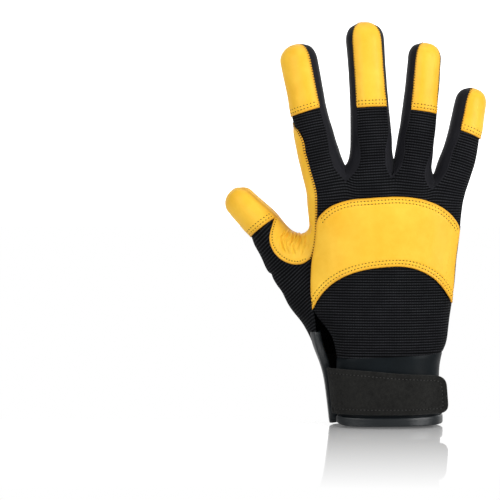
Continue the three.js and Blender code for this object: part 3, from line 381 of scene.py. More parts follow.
def crumple(points):
    """How far cloth and leather stand off the smooth form, in millimetres: wide swells and smaller dents, the
    same for all pieces, so that neighbours stay together."""
    rough = np.empty(len(points))
    for i, (x, y, z) in enumerate(points):
        spot = Vector((x, y, z * 0.8))
        rough[i] = 0.34 * noise.noise(spot / 15) + 0.16 * noise.noise(spot / 6.5 + Vector((9, 4, 2)))
    return rough


# Where the filled glove is fuller than the smooth form: a place, how far it stands out there and over what
# breadth, in millimetres as seen from the front. It is the same for all pieces, so that the seams stay
# shut.
FULLER = (
    ((-66, 78), (-1.9, -0.8), 18), ((-68, 86.5), (-1.7, -0.5), 6), ((-57, 67), (-1.6, -0.8), 10),
    ((56, 150), (1.1, 0.0), 22), ((57, 182), (0.8, 0.0), 12),
)


def fuller(points, table=FULLER):
    """Moves points sideways and up or down by such a table."""
    points = points.copy()
    view = points[:, [0, 2]]
    for place, way, breadth in table:
        share = np.exp(-(np.linalg.norm(view - place, axis=1) / breadth) ** 2)
        points[:, [0, 2]] += share[:, None] * way
    return points


def rolled(distance, radius):
    """How far a turned edge falls away, at a distance from it."""
    inside = np.clip(1 - distance / radius, 0, 1)
    return radius * (1 - np.sqrt(np.maximum(1 - inside ** 2, 0)))


def creased(points, table):
    """How deep folds run, in millimetres. Each row has its two ends as seen from the front, how far it bows
    to a side, its depth and its width. The leather stands up a little on both sides of a fold."""
    sunk = np.zeros(len(points))
    for x0, z0, x1, z1, bow, depth, width in table:
        run = np.array([x1 - x0, z1 - z0], dtype=float)
        length = np.linalg.norm(run)
        run /= length
        offset = points[:, [0, 2]] - np.array([x0, z0])
        along = offset @ run / length
        aside = offset @ np.array([-run[1], run[0]]) - bow * 4 * along * (1 - along)
        fade = np.clip(4 * along, 0, 1) * np.clip(4 * (1 - along), 0, 1)
        valley = np.exp(-(aside / width) ** 2)
        banks = np.exp(-((np.abs(aside) - 2 * width) / width) ** 2)
        sunk += depth * fade * (valley - 0.45 * banks)
    return sunk


def snapped(tree, point):
    """The nearest place on a surface, with its normal."""
    spot, normal, _, _ = tree.find_nearest(Vector(point) * MM)
    return spot, normal


def laid_on(tree, line):
    """A line's points brought onto a surface."""
    return np.array([np.array(snapped(tree, point)[0]) / MM for point in line])


def row_line(edge, tree, inset, trim):
    """A line on the sheet that runs along an edge at a distance inside it, cut short by trim at its ends."""
    line = laid_on(tree, edge.points + edge.inward * inset)
    gone = gone_along(line)
    return line[(gone >= trim) & (gone <= gone[-1] - trim)]


def at_stops(line, gone, stops):
    """The places on a line at some distances along it."""
    return np.stack([np.interp(stops, gone, line[:, k]) for k in range(3)], 1)


def spaced(line, pitch, start):
    """Points at even spacing along a line, and the way it runs at each."""
    gone = gone_along(line)
    stops = np.arange(start * pitch, gone[-1], pitch)
    ahead, behind = at_stops(line, gone, stops + 0.3), at_stops(line, gone, stops - 0.3)
    return list(zip(at_stops(line, gone, stops), ahead - behind))


def surface(piece):
    """A tree of a piece's faces, to find places on it."""
    sheet = bmesh.new()
    sheet.from_mesh(piece.data)
    tree = BVHTree.FromBMesh(sheet)
    sheet.free()
    return tree


def touching(points, node, within):
    """Which points lie near a node's solid."""
    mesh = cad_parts[node].data
    tree = BVHTree.FromPolygons([v.co for v in mesh.vertices], [tuple(p.vertices) for p in mesh.polygons])
    return np.array([tree.find_nearest(Vector(p) * MM, within * MM)[0] is not None for p in points])


def joined(wanted, gap):
    """The same marks, with short breaks in a closed loop filled."""
    filled = wanted.copy()
    for i in np.flatnonzero(~wanted):
        near = [(i + k) % len(wanted) for k in range(-gap, gap + 1)]
        filled[i] = wanted[near[:gap]].any() and wanted[near[gap + 1:]].any()
    return filled


def attribute(piece, name, values):
    values = np.asarray(values, dtype=np.float32)
    piece.data.attributes.new(name, "FLOAT", "POINT").data.foreach_set("value", values)


def closed_up(points, distance, edges, lapped, press):
    """Moves the margins of a panel a little outwards, so that its seams are shut. Lapped edges stay."""
    seam_reach, margin = 0.9, 2
    tree = tree_of(np.concatenate([edge.points for edge in edges]))
    ways = np.concatenate([edge.inward for edge in edges])
    shift = press * np.exp(-(distance / seam_reach) ** 2)
    if lapped:
        shift[reach(points, lapped, 3.0) < 1.0] = 0
    moved = points.copy()
    for i in np.flatnonzero(distance < margin):
        moved[i] -= ways[tree.find(points[i])[1]] * shift[i]
    return moved


# How far from a seam a panel puffs up, how a lapped edge stands up over what lies under it, and how a
# stitch row pulls the leather down: each height and its reach, in millimetres.
PUFF_REACH = 3.2
LAP_RISE, LAP_REACH = 0.45, 6
ROW_SINK, ROW_REACH = 0.3, 0.75


def dress(piece, puff, lift, roll, rows=(), lapped=(), extra=None, press=0.3):
    """Shapes a panel: lifted, puffed between its seams, rolled at its edges and sunk along its stitch rows.
    It gives a tree of the dressed surface."""
    points, normals = places(piece)
    edges = edges_of(piece)
    distance = reach(points, [closed_line(edge) for edge in edges])
    points = closed_up(points, distance, edges, lapped, press)
    puffed = puff * (1 - np.exp(-(distance / PUFF_REACH) ** 2))
    rise = crumple(points) + puffed + lift - rolled(distance, roll)
    if lapped:
        rise += LAP_RISE * np.exp(-(reach(points, lapped) / LAP_REACH) ** 2)
    if rows:
        rise -= ROW_SINK * np.exp(-(reach(points, rows) / ROW_REACH) ** 2)
    if extra is not None:
        rise += extra(points, normals, distance)
    move_points(piece, fuller(points + normals * rise[:, None]))
    attribute(piece, "edge", distance)
    return surface(piece)


def backed(piece, wall, thin=0.6):
    """Gives a sheet its thickness inwards, with an inner side that is coarser by the share thin."""
    inner = piece.vertex_groups.new(name="inner")
    modified(
        piece, "SOLIDIFY", thickness=wall * MM, offset=-1, use_even_offset=False,
        shell_vertex_group=inner.name,
    )
    if thin:
        modified(piece, "DECIMATE", ratio=thin, vertex_group="inner")
    only(piece)
    bpy.ops.object.shade_smooth_by_angle(angle=math.radians(50))


def placed(piece, finish, slot, *nodes):
    """Gives a piece its finish and hands it to the frame."""
    piece.data.materials.append(finish)
    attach(piece, "root")
    if nodes:
        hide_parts(*nodes)


class Wire:
    """A socket of a material, so that the shader's maths reads as plain expressions."""

    def __init__(self, tree, socket):
        self.tree, self.socket = tree, socket

    def node(self, kind, settings=None, sockets=None, output=0):
        made = self.tree.nodes.new(kind)
        for key, value in (settings or {}).items():
            if key == "stops":
                ramp = made.color_ramp
                while len(ramp.elements) < len(value):
                    ramp.elements.new(1)
                for stop, (at, colour) in zip(ramp.elements, value):
                    stop.position, stop.color = at, (*colour, 1)
            else:
                setattr(made, key, value)
        for key, value in (sockets or {}).items():
            if isinstance(value, Wire):
                self.tree.links.new(value.socket, made.inputs[key])
            else:
                made.inputs[key].default_value = value
        return Wire(self.tree, made.outputs[output])

    def maths(self, operation, *values):
        return self.node("ShaderNodeMath", {"operation": operation}, dict(enumerate(values)))

    def __add__(self, other):
        return self.maths("ADD", self, other)

    def __sub__(self, other):
        return self.maths("SUBTRACT", self, other)

    def __rsub__(self, other):
        return self.maths("SUBTRACT", other, self)

    def __mul__(self, other):
        return self.maths("MULTIPLY", self, other)

    def __pow__(self, other):
        return self.maths("POWER", self, other)

    __radd__ = __add__
    __rmul__ = __mul__

    def sine(self):
        return self.maths("SINE", self)

    def clamped(self, low=0.0, high=1.0):
        return self.node(
            "ShaderNodeMapRange", {"clamp": True}, {"Value": self, "From Min": low, "From Max": high},
        )

    def between(self, first, second):
        """A colour between two, by this share. Either can be a wire."""
        return self.node("ShaderNodeMix", {"data_type": "RGBA"}, {"Factor": self, 6: first, 7: second}, 2)

    def noise(self, scale, detail, roughness):
        return self.node(
            "ShaderNodeTexNoise", {},
            {"Vector": self, "Scale": scale, "Detail": detail, "Roughness": roughness},
        )

    def read(self, name):
        return self.node("ShaderNodeAttribute", {"attribute_name": name}, output=2)

    def bumped(self, height, distance, strength, under=None):
        sockets = {"Height": height, "Distance": distance, "Strength": strength}
        if under:
            sockets["Normal"] = under
        return self.node("ShaderNodeBump", {}, sockets)


def new_finish(name, **fixed):
    """A material with its fixed values set, the wire of its object coordinates, and its shader."""
    made = bpy.data.materials.new(name)
    made.use_nodes = True
    shader = made.node_tree.nodes["Principled BSDF"]
    for key, value in fixed.items():
        shader.inputs[key.replace("_", " ")].default_value = value
    start = Wire(made.node_tree, None)
    return made, start.node("ShaderNodeTexCoord", output=3), shader


def feed(shader, **sockets):
    for key, wire in sockets.items():
        wire.tree.links.new(wire.socket, shader.inputs[key.replace("_", " ")])


def leather_finish(name, pale, mid, seam_shade):
    """Soft dyed grain leather: fine pores and shallow wrinkles, with painted shade, warmer and darker, along
    the seams where the edges roll into hollows.
    """
    made, place, shader = new_finish(name, IOR=1.45, Specular_IOR_Level=0.36)
    blotch = place.noise(38, 4, 0.55)
    cloudy = place.noise(160, 3, 0.6)
    edge = place.read("edge")
    tone = (blotch * 0.75 + cloudy * 0.35).clamped(0.34, 0.74)
    colour = tone.between((*mid, 1), (*pale, 1))
    # Painted shade: the colour darkens and warms within about 2.4 mm of each seam, where the rolled edges
    # turn away from the light.
    seam = (1 - edge.clamped(0.0, 2.4)) ** 1.6
    colour = (seam * 0.75).between(colour, (*seam_shade, 1))
    cells = place.node(
        "ShaderNodeTexVoronoi", {"feature": "DISTANCE_TO_EDGE"},
        {"Vector": place, "Scale": 950.0, "Randomness": 1.0},
    ).clamped(0.0, 0.35)
    pores = place.noise(2600, 2, 0.6)
    wrinkle = place.node(
        "ShaderNodeTexNoise", {"noise_type": "RIDGED_MULTIFRACTAL"},
        {"Vector": place, "Scale": 210.0, "Detail": 4.0, "Roughness": 0.55, "Lacunarity": 2.1},
    )
    relief = place.bumped(wrinkle, 0.00022, 0.22)
    relief = place.bumped(cells * 0.7 + pores * 0.3, 0.00009, 0.35, relief)
    feed(shader, Base_Color=colour, Roughness=0.4 + 0.16 * cloudy + 0.08 * pores, Normal=relief)
    return made


# The last colour is the painted shade along the seams.
leather = leather_finish(
    "yellow_leather", pale=(0.94, 0.555, 0.042), mid=(0.84, 0.43, 0.011), seam_shade=(0.6, 0.25, 0.005),
)

# The palm's folds: across the palm, two at each finger's middle joint and one at its upper joint, and on
# the thumb.
PALM_FOLDS = [
    (-34, 94, -8, 74, 3, 0.5, 1.1), (-33, 99, 2, 92, -3, 0.35, 1.2), (-36, 90, -20, 60, 3, 0.42, 1.0),
    (-40, 88, -31, 55, 2, 0.4, 1.0), (-30, 104, 8, 108, 3, 0.3, 1.3), (-14, 128, 34, 118, -4, 0.5, 1.5),
    (-20, 120, 24, 104, -5, 0.35, 1.4), (4, 60, 16, 96, 3, 0.3, 1.4), (-8, 52, 4, 84, -2, 0.28, 1.2),
    (-56, 178, -36, 182, 1, 0.42, 1.2), (-54, 172, -35, 176, -1, 0.3, 1.1),
    (-60, 204, -42, 207, 1, 0.34, 1.0),
    (-21, 186, 0, 186, 1, 0.42, 1.2), (-20, 180, -1, 181, -1, 0.3, 1.1), (-22, 213, -3, 213, 1, 0.34, 1.0),
    (10, 182, 29, 178, 1, 0.42, 1.2), (9, 176, 28, 173, -1, 0.3, 1.1), (13, 204, 32, 201, 1, 0.34, 1.0),
    (36, 166, 53, 160, 1, 0.42, 1.1), (34, 160, 52, 154, -1, 0.3, 1.0), (41, 184, 57, 179, 1, 0.34, 1.0),
    (-84, 104, -62, 121, 1, 0.4, 1.1), (-74, 92, -54, 110, 2, 0.4, 1.1), (-66, 84, -48, 98, 2, 0.32, 1.0),
]


def palm_side(points, normals, distance):
    """The folds, on the palm side alone."""
    return -0.7 * creased(points, PALM_FOLDS) * np.clip(normals[:, 1] * 3, 0, 1)


# How many times the faces of a panel are split to make it smooth.
FINE = 3

palm = cut_panel("palm_leather", LEATHER_WALL, FINE)
dress(palm, puff=0.45, lift=0.0, roll=0.6, extra=palm_side)
backed(palm, LEATHER_BACKING, thin=0.55)
placed(palm, leather, "leather", "palm_leather")

# Stitching: lapped edges are lockstitched through the leather. The thread lies in short bars, and between
# them it dips through needle holes, which are not cut but drawn as dark discs: painted shade of the holes.
# Where leather meets black cloth in a seam, the seam's black thread bites over it.


def model_bar(size):
    """One bar of thread or one needle hole, lying along X, as arrays of points and lists of faces."""
    bpy.ops.object.select_all(action="DESELECT")
    bpy.ops.mesh.primitive_uv_sphere_add(segments=8, ring_count=5, radius=0.5)
    bar = bpy.context.object
    bpy.ops.object.mode_set(mode="EDIT")
    bpy.ops.mesh.select_all(action="SELECT")
    bpy.ops.transform.rotate(value=math.pi / 2, orient_axis="Y", center_override=(0, 0, 0))
    bpy.ops.transform.resize(value=size, center_override=(0, 0, 0))
    bpy.ops.object.mode_set(mode="OBJECT")
    points = np.array([v.co[:] for v in bar.data.vertices])
    # A ball's faces come in another order each run, so they are sorted.
    faces = sorted(list(face.vertices) for face in bar.data.polygons)
    bpy.data.objects.remove(bar)
    return points, faces


THREAD = model_bar((1.15, 0.5, 0.42))
HOLE = model_bar((0.86, 0.86, 0.3))
BITE = model_bar((1.7, 0.62, 0.5))


def sewn(name, shape, spots, finish, slot):
    """One piece made of many copies of a stitch, each at a place, along a direction and on a normal."""
    points, faces = shape
    all_points, all_faces = [], []
    for spot, along, normal in spots:
        normal = Vector(normal).normalized()
        along = Vector(along)
        along = (along - normal * along.dot(normal)).normalized()
        turn = np.array([along, normal.cross(along), normal])
        base = len(all_points) * len(points)
        all_points.append(points * MM @ turn + np.array(spot))
        all_faces.extend([[base + i for i in face] for face in faces])
    mesh = bpy.data.meshes.new(name)
    mesh.from_pydata(np.concatenate(all_points).tolist(), [], all_faces)
    piece = bpy.data.objects.new(name, mesh)
    bpy.context.scene.collection.objects.link(piece)
    only(piece)
    bpy.ops.object.shade_smooth()
    placed(piece, finish, slot)


def stitches(tree, line, pitch, start, height):
    """Places at even spacing along a row, at a height over the surface."""
    found = []
    for spot, way in spaced(line, pitch, start):
        place, normal = snapped(tree, spot)
        found.append((place + normal * height * MM, way, normal))
    return found


def thread_finish(name, colour, roughness):
    made, place, shader = new_finish(name, Specular_IOR_Level=0.3)
    fibre = place.noise(3200, 2, 0.6)
    feed(
        shader, Base_Color=fibre.between((*[c * 0.75 for c in colour], 1), (*colour, 1)),
        Roughness=roughness + 0.15 * fibre, Normal=place.bumped(fibre, 0.00008, 0.5),
    )
    return made


yellow_thread = thread_finish("yellow_thread", colour=(0.9, 0.55, 0.035), roughness=0.5)
# The needle holes' dark colour is painted shade, standing in for the depth of each hole.
hole_shade = thread_finish("needle_hole_shade", colour=(0.06, 0.034, 0.004), roughness=0.9)
black_thread = thread_finish("black_thread", colour=(0.003, 0.003, 0.0035), roughness=0.9)

# How high the middle of a needle hole lies over the surface, in millimetres.
HOLE_HEIGHT = -0.02


def sew_rows(name, rows, pitch=2.1, height=0.0, thread=yellow_thread, hole=hole_shade, slot="leather"):
    """Sews rows, each a surface and a line on it, as one piece of thread and one of needle holes."""
    bars, holes = [], []
    for tree, line in rows:
        bars += stitches(tree, line, pitch, start=1.0, height=height)
        holes += stitches(tree, line, pitch, start=0.5, height=HOLE_HEIGHT)
    sewn(f"{name}_thread", THREAD, bars, thread, slot)
    sewn(f"{name}_holes", HOLE, holes, hole, slot)


def bites(edges, tree, neighbours):
    """Places where the seam's thread bites over a leather edge, wherever that edge meets a neighbour."""
    pitch, sunk = 1.65, 0.06
    found = []
    for edge in edges:
        near = np.zeros(len(edge.points), bool)
        for node in neighbours:
            near |= touching(edge.points, node, 1.0)
        for part in edge.parts(near):
            line = closed_line(part)
            inward = np.vstack([part.inward, part.inward[:1]]) if part.closed else part.inward
            gone = gone_along(line)
            stops = np.arange(pitch / 2, gone[-1], pitch)
            for spot, way in zip(at_stops(line, gone, stops), at_stops(inward, gone, stops)):
                place, normal = snapped(tree, spot)
                found.append((place - normal * sunk * MM, way, normal))
    return found


# Index gusset: a strip of the same leather down the index finger's side. At the web it turns over the thumb
# and ends in a rounded tongue, which is laid over the knit with one stitch row and creases finely as the
# thumb bends.


def eased(value):
    """A smooth step from 0 to 1."""
    value = np.clip(value, 0, 1)
    return value * value * (3 - 2 * value)


# How far the strip's seam moves round the finger, and between what heights, in millimetres.
BLUNT, BLUNT_TOP, BLUNT_FOOT = 2.6, 182, 164
INDEX_WAY = np.array([-0.17, 0.03, 0.98])


def blunted(points, normals, seam):
    """Moves the strip's seam round the finger near the strip's upper end, so that the end is blunt."""
    amount = BLUNT * eased((BLUNT_TOP - points[:, 2]) / 4) * eased((points[:, 2] - BLUNT_FOOT) / 10)
    amount *= np.exp(-(reach(points, [seam]) / 5) ** 2)
    round_finger = np.cross(INDEX_WAY, normals)
    return points + round_finger * (amount * np.sign(round_finger[:, 0]))[:, None]


# The tongue's fine folds, which fan out from the web.
TONGUE_FOLDS = [
    (-49.4, 115, -50.9, 106, 0.6, 0.42, 0.55), (-52.2, 115.6, -55.3, 104.6, 0.9, 0.5, 0.6),
    (-54.4, 115.8, -56.2, 109, 0.6, 0.3, 0.5), (-56.3, 116, -60.2, 107, 0.8, 0.5, 0.6),
    (-58.9, 116.6, -63.6, 110.6, 0.7, 0.4, 0.6), (-61.4, 116.8, -66, 112.4, 0.5, 0.3, 0.55),
    (-64.5, 114.6, -60.6, 102, -1.6, 0.42, 0.6), (-61.8, 110.8, -58.6, 101.8, -1.1, 0.3, 0.55),
    (-57.4, 109.2, -55.6, 101.4, -0.6, 0.34, 0.55), (-47.3, 112.6, -48.3, 104, 0.4, 0.36, 0.55),
    (-51.2, 108, -52.4, 101.2, 0.3, 0.28, 0.5), (-46.2, 121, -47.4, 114, 0.3, 0.25, 0.7),
]

# How far the tongue spreads beyond the solid's, in millimetres: all round, and in addition at its lower
# end, on the thumb's side of its start. It follows the thumb's roundness.
SPREAD, SPREAD_BELOW, TONGUE_START = 1.1, 3.4, -46.5
THUMB_RADIUS = 12


def spread(points, normals, rim, inward):
    """The gusset's points with the tongue spread out from its rim over the knit, round the thumb. Points far
    from the rim stay, and the spread is blended and fades away over the other two lengths."""
    far, blend, fade = 12, 4, 7
    ways = -inward
    lower_end = np.clip((TONGUE_START - rim[:, 0]) / 5, 0, 1)
    ways *= (SPREAD + SPREAD_BELOW * np.maximum(-ways[:, 2], 0) * lower_end)[:, None]
    points = points.copy()
    for i in range(len(points)):
        apart = np.linalg.norm(rim - points[i], axis=1)
        if apart.min() > far:
            continue
        pull = np.exp(-(apart / blend) ** 2) + 1e-9
        out = (pull[:, None] * ways).sum(0) / pull.sum() * math.exp(-(apart.min() / fade) ** 2)
        points[i] += out - normals[i] * (out @ out) / (2 * THUMB_RADIUS)
    return points


def rounded_row(rim, inset):
    """A stitch row inside the tongue's rim, smoother than the rim."""
    rim = rim.copy()
    for _ in range(30):
        rim[1:-1] = (rim[:-2] + 2 * rim[1:-1] + rim[2:]) / 4
    middle = rim.mean(0) * 0.5 + (rim[0] + rim[-1]) * 0.25
    ways = middle - rim
    ways /= np.linalg.norm(ways, axis=1)[:, None]
    return rim + inset * ways


def tongue_side(points, normals, distance):
    """The tongue's folds, on the side that shows and away from its edge."""
    showing = np.clip(0.8 - normals[:, 1] * 3, 0, 1)
    return -1.7 * creased(points, TONGUE_FOLDS) * showing * (1 - np.exp(-(distance / 2.6) ** 2))


gusset = cut_panel("index_gusset", LEATHER_WALL, FINE + 1, corner=math.radians(75))
gusset_edges = edges_of(gusset)
over_thumb = [joined(touching(edge.points, "thumb_knit", 1.0), 12) for edge in gusset_edges]
lap = [part for edge, near in zip(gusset_edges, over_thumb) for part in edge.parts(near)]
strip_seam = max(
    (part.points for edge in gusset_edges for part in edge.parts(touching(edge.points, "back_knit", 1.0))),
    key=len,
)
points, normals = places(gusset)
points = blunted(points, normals, strip_seam)
rim, inward = np.concatenate([part.points for part in lap]), np.concatenate([part.inward for part in lap])
move_points(gusset, spread(points, normals, rim, inward))

gusset_edges = edges_of(gusset)
flat = surface(gusset)
laps = [part.points for edge, near in zip(gusset_edges, over_thumb) for part in edge.parts(near)]
tongue_rows = [laid_on(flat, rounded_row(rim, inset=1.7)) for rim in laps]
gusset_skin = dress(gusset, puff=0.35, lift=0.1, roll=0.6, rows=tongue_rows, lapped=laps, extra=tongue_side)
gusset_bites = bites(gusset_edges, gusset_skin, ["back_knit"])
backed(gusset, LEATHER_BACKING)
placed(gusset, leather, "leather", "index_gusset")
sew_rows("tongue", [(gusset_skin, row) for row in tongue_rows], pitch=1.75)

# Tip caps: the backs of the five tips, of the same leather. Each is turned in along its sides and laid over
# the knit at its lower edge, with two rows of stitches.

# How far each cap's lower edge is drawn down over the knit at its thumb side and at its other side, in
# millimetres.
DRAWN = {
    "thumb": (0.6, 0.6), "index": (2.6, 1.0), "middle": (2.6, 2.8), "ring": (2.0, 2.0), "little": (0.6, 2.0),
}
DRAW_REACH = 9
DOUBLE_ROWS = (1.9, 3.9)
SIDE_WALLS = ("side_wall_index_middle", "side_wall_middle_ring", "side_wall_ring_little")

cap_rows, cap_bites = [], []
for digit, (thumb_side, other_side) in DRAWN.items():
    cap = cut_panel(f"tip_cap_{digit}", LEATHER_WALL, FINE, border=1.2)
    points, _ = places(cap)
    hem = sides_of(edges_of(cap)[0], 2)[-1].points
    side = (points[:, 0] - hem[:, 0].min()) / np.ptp(hem[:, 0])
    amount = thumb_side + (other_side - thumb_side) * np.clip(side, 0, 1)
    tip = points[np.argmax(np.linalg.norm(points - hem.mean(0), axis=1))]
    down = (hem.mean(0) - tip) / np.linalg.norm(hem.mean(0) - tip)
    points += np.outer(amount * np.exp(-(reach(points, [hem], 30.0) / DRAW_REACH) ** 2), down)
    move_points(cap, points)
    flat = surface(cap)
    edges = edges_of(cap)
    hem = sides_of(edges[0], 2)[-1]
    rows = [row_line(hem, flat, inset, trim=0.5) for inset in DOUBLE_ROWS]
    skin = dress(cap, puff=0.5, lift=0.1, roll=0.6, rows=rows, lapped=[hem.points])
    cap_bites += bites(edges, skin, SIDE_WALLS)
    cap_rows += [(skin, row) for row in rows]
    backed(cap, LEATHER_BACKING, thin=None)
    placed(cap, leather, "leather", f"tip_cap_{digit}")
sew_rows("cap", cap_rows)
sewn("seam_bites", BITE, gusset_bites + cap_bites, black_thread, "side_cloth")

# Knitted back and thumb: stretch knit, with ribs round the fingers, across the back and slanting over the
# thumb. The edges of its two panels roll under at the seams.
KNIT_WALL, KNIT_BACKING = 1.5, 1.3

# Each finger's line from knuckle to tip, which its ribs run round, and the height at which the ribs start
# to turn from the back to the fingers and over what height they do, in millimetres.
DIGIT_LINES = (
    ((-34.9, -3.4, 133), (-53.6, 3.4, 219.8)), ((-7.4, -4.8, 139), (-13.2, 3.4, 233.3)),
    ((12, -4.1, 136), (23.4, 4.4, 222)), ((33, -0.7, 128), (52.1, 6.8, 195.3)),
)
TURN_START, TURN_HEIGHT = 122, 34


def knit_lines(points):
    """Where each point of the back lies across the ribs and along them, in millimetres."""
    starts = np.array([start for start, _ in DIGIT_LINES])
    ways = np.array([tip for _, tip in DIGIT_LINES]) - starts
    ways /= np.linalg.norm(ways, axis=1)[:, None]
    offsets = points[:, None, :] - starts[None]
    along = (offsets * ways).sum(2)
    aside = np.linalg.norm(offsets - along[..., None] * ways, axis=2)
    weight = np.exp(-aside / 2.5)
    weight /= weight.sum(1)[:, None]
    on_digit = (weight * (along + starts[:, 2])).sum(1)
    sideways = np.stack([ways[:, 2], np.zeros(4), -ways[:, 0]], 1)
    across = (weight * ((offsets * sideways).sum(2) + starts[:, 0])).sum(1)
    up = eased((points[:, 2] - TURN_START) / TURN_HEIGHT)
    return points[:, 2] * (1 - up) + on_digit * up, points[:, 0] * (1 - up) + across * up


def thumb_lines(points):
    """The same for the thumb, whose ribs slant and bow a little."""
    lean = math.radians(50)
    bow = 0.004 * (points[:, 2] - 75) * (points[:, 0] + 55)
    rib = points[:, 2] * math.cos(lean) - points[:, 0] * math.sin(lean) + bow
    return rib, points[:, 2] * math.sin(lean) + points[:, 0] * math.cos(lean)


def knit_finish(name, rib_pitch, wale_pitch, broken):
    """Ribbed knit on black: painted light on the crests and painted shade in the valleys, broken into short
    stitches by the wales and paler in random worn patches.
    """
    made, place, shader = new_finish(name, Specular_IOR_Level=0.06)
    wander = place.noise(240, 2, 0.5)
    rib = place.read("rib") * (2 * math.pi / rib_pitch) + wander * 0.9
    wale = place.read("wale") * (2 * math.pi / wale_pitch) + wander * 1.4
    # Painted light and shade: the colour is paler on each rib's crest and darker in the valleys between.
    crest = (rib.sine() * 0.5 + 0.5) ** 2.2
    loops = (wale.sine() * 0.5 + 0.5) ** 0.8
    worn = place.noise(90, 3, 0.6).clamped(0.3, 0.75)
    fuzz = place.noise(2400, 2, 0.7)
    weave = crest * (1 - broken + broken * loops)
    shade = weave * (0.55 + 0.45 * worn) * (0.7 + 0.6 * fuzz)
    colour = shade.clamped().between((0.0008, 0.0009, 0.0013, 1), (0.036, 0.0375, 0.042, 1))
    relief = place.bumped(weave, 0.00036, 0.85)
    relief = place.bumped(fuzz, 0.00012, 0.3, relief)
    feed(shader, Base_Color=colour, Roughness=0.72 + 0.2 * fuzz, Normal=relief)
    return made


knit = knit_finish("ribbed_knit", rib_pitch=1.66, wale_pitch=1.5, broken=0.5)

for node, lines in (("back_knit", knit_lines), ("thumb_knit", thumb_lines)):
    cloth = cut_panel(node, KNIT_WALL, FINE)
    move_points(cloth, blunted(*places(cloth), strip_seam))
    ribs, wales = lines(places(cloth)[0])
    attribute(cloth, "rib", ribs)
    attribute(cloth, "wale", wales)
    dress(cloth, puff=0.3, lift=-0.15, roll=0.5, press=0.5)
    backed(cloth, KNIT_BACKING)
    placed(cloth, knit, "knit", node)

# Side walls: narrow strips of smooth black stretch cloth, one in each gap between two fingers, from tip to
# tip. Each is sewn in between the knit of the back and the leather of the palm.


def cloth_finish(name, dark, light, scale, roughness, sheen, shine=0.15):
    """Plain fine cloth or tape: threads too fine to count, with a soft change of tone."""
    made, place, shader = new_finish(
        name, Specular_IOR_Level=shine, Sheen_Weight=sheen, Sheen_Roughness=0.45,
    )
    thread = place.node(
        "ShaderNodeTexVoronoi", {}, {"Vector": place, "Scale": scale, "Randomness": 0.7},
    )
    cloudy = place.noise(60, 3, 0.55).clamped(0.3, 0.7)
    colour = (cloudy * 0.7 + thread * 0.3).clamped().between((*dark, 1), (*light, 1))
    feed(
        shader, Base_Color=colour, Roughness=roughness + 0.1 * cloudy,
        Normal=place.bumped(thread, 0.0001, 0.4, place.bumped(place.noise(300, 3, 0.6), 0.0003, 0.25)),
    )
    return made


side_cloth = cloth_finish(
    "side_cloth", dark=(0.0035, 0.0035, 0.0055), light=(0.0075, 0.0075, 0.011),
    scale=2200.0, roughness=0.62, sheen=0.06,
)


def web(piece, pinch, sag):
    """Folds the bottom of a gap into a narrow V: pinched in beside its lowest point, and hanging below it."""
    points, normals = places(piece)
    seam_reach, pinch_start, pinch_reach, sag_reach = 3, 3, 14, 9
    edge_lines = [closed_line(edge) for edge in edges_of(piece)]
    inside = 1 - np.exp(-(reach(points, edge_lines) / seam_reach) ** 2)
    height = points[:, 2] - points[inside > 0.9, 2].min()
    pinched = np.exp(-(np.maximum(height - pinch_start, 0) / pinch_reach) ** 2)
    points[:, 0] += normals[:, 0] * pinch * inside * pinched
    points[:, 2] -= sag * inside * np.exp(-(height / sag_reach) ** 2)
    move_points(piece, points)


# How far each wall is pinched in and hangs, in millimetres.
for node, pinch, sag in zip(SIDE_WALLS, (2.3, 0.9, 0.6), (2.0, 7.5, 2.5)):
    strip = cut_panel(node, wall=1.3, levels=FINE)
    web(strip, pinch, sag)
    dress(strip, puff=0.5, lift=-0.1, roll=0.5, press=0.6)
    backed(strip, wall=1.1)
    placed(strip, side_cloth, "side_cloth", node)

# Cuff: fine black cloth on the palm and thumb side, and a smooth blue-black band on the back. Both are sewn
# to the lower edges of the leather and the knit, and left open at the vent below the thumb.
cuff_cloth = cloth_finish(
    "cuff_cloth", dark=(0.003, 0.003, 0.0038), light=(0.007, 0.007, 0.0085),
    scale=1500.0, roughness=0.75, sheen=0.08,
)
cuff_band = cloth_finish(
    "cuff_band", dark=(0.002, 0.0036, 0.0048), light=(0.0046, 0.0075, 0.0096),
    scale=2400.0, roughness=0.42, sheen=0.0, shine=0.1,
)

for node, finish, slot in (("cuff_palm", cuff_cloth, "cuff_cloth"), ("cuff_back", cuff_band, "cuff_band")):
    cuff = cut_panel(node, wall=2.0, levels=FINE)
    dress(cuff, puff=0.0, lift=-0.1, roll=0.5, press=0.7)
    backed(cuff, wall=1.8)
    placed(cuff, finish, slot, node)

# Knuckle patch: leather laid over the knit from side seam to side seam. Its two arched edges are double
# stitched. The lower arch is drawn up a little towards the thumb, and the upper corner on the other side a
# little down.
ARCHES = (((-23, 89), (0.0, 1.7), 15), ((42, 126), (0.0, -1.2), 9))

patch = cut_panel("knuckle_patch", wall=1.4, levels=FINE + 1)
move_points(patch, fuller(places(patch)[0], ARCHES))
flat = surface(patch)
arched = sides_of(edges_of(patch)[0], 4)[:2]
patch_rows = [row_line(side, flat, inset, trim=0.6) for side in arched for inset in DOUBLE_ROWS]
patch_skin = dress(patch, puff=0.35, lift=0.1, roll=0.55, rows=patch_rows, press=0.0)
backed(patch, wall=1.3)
placed(patch, leather, "leather", "knuckle_patch")
sew_rows("patch", [(patch_skin, row) for row in patch_rows])

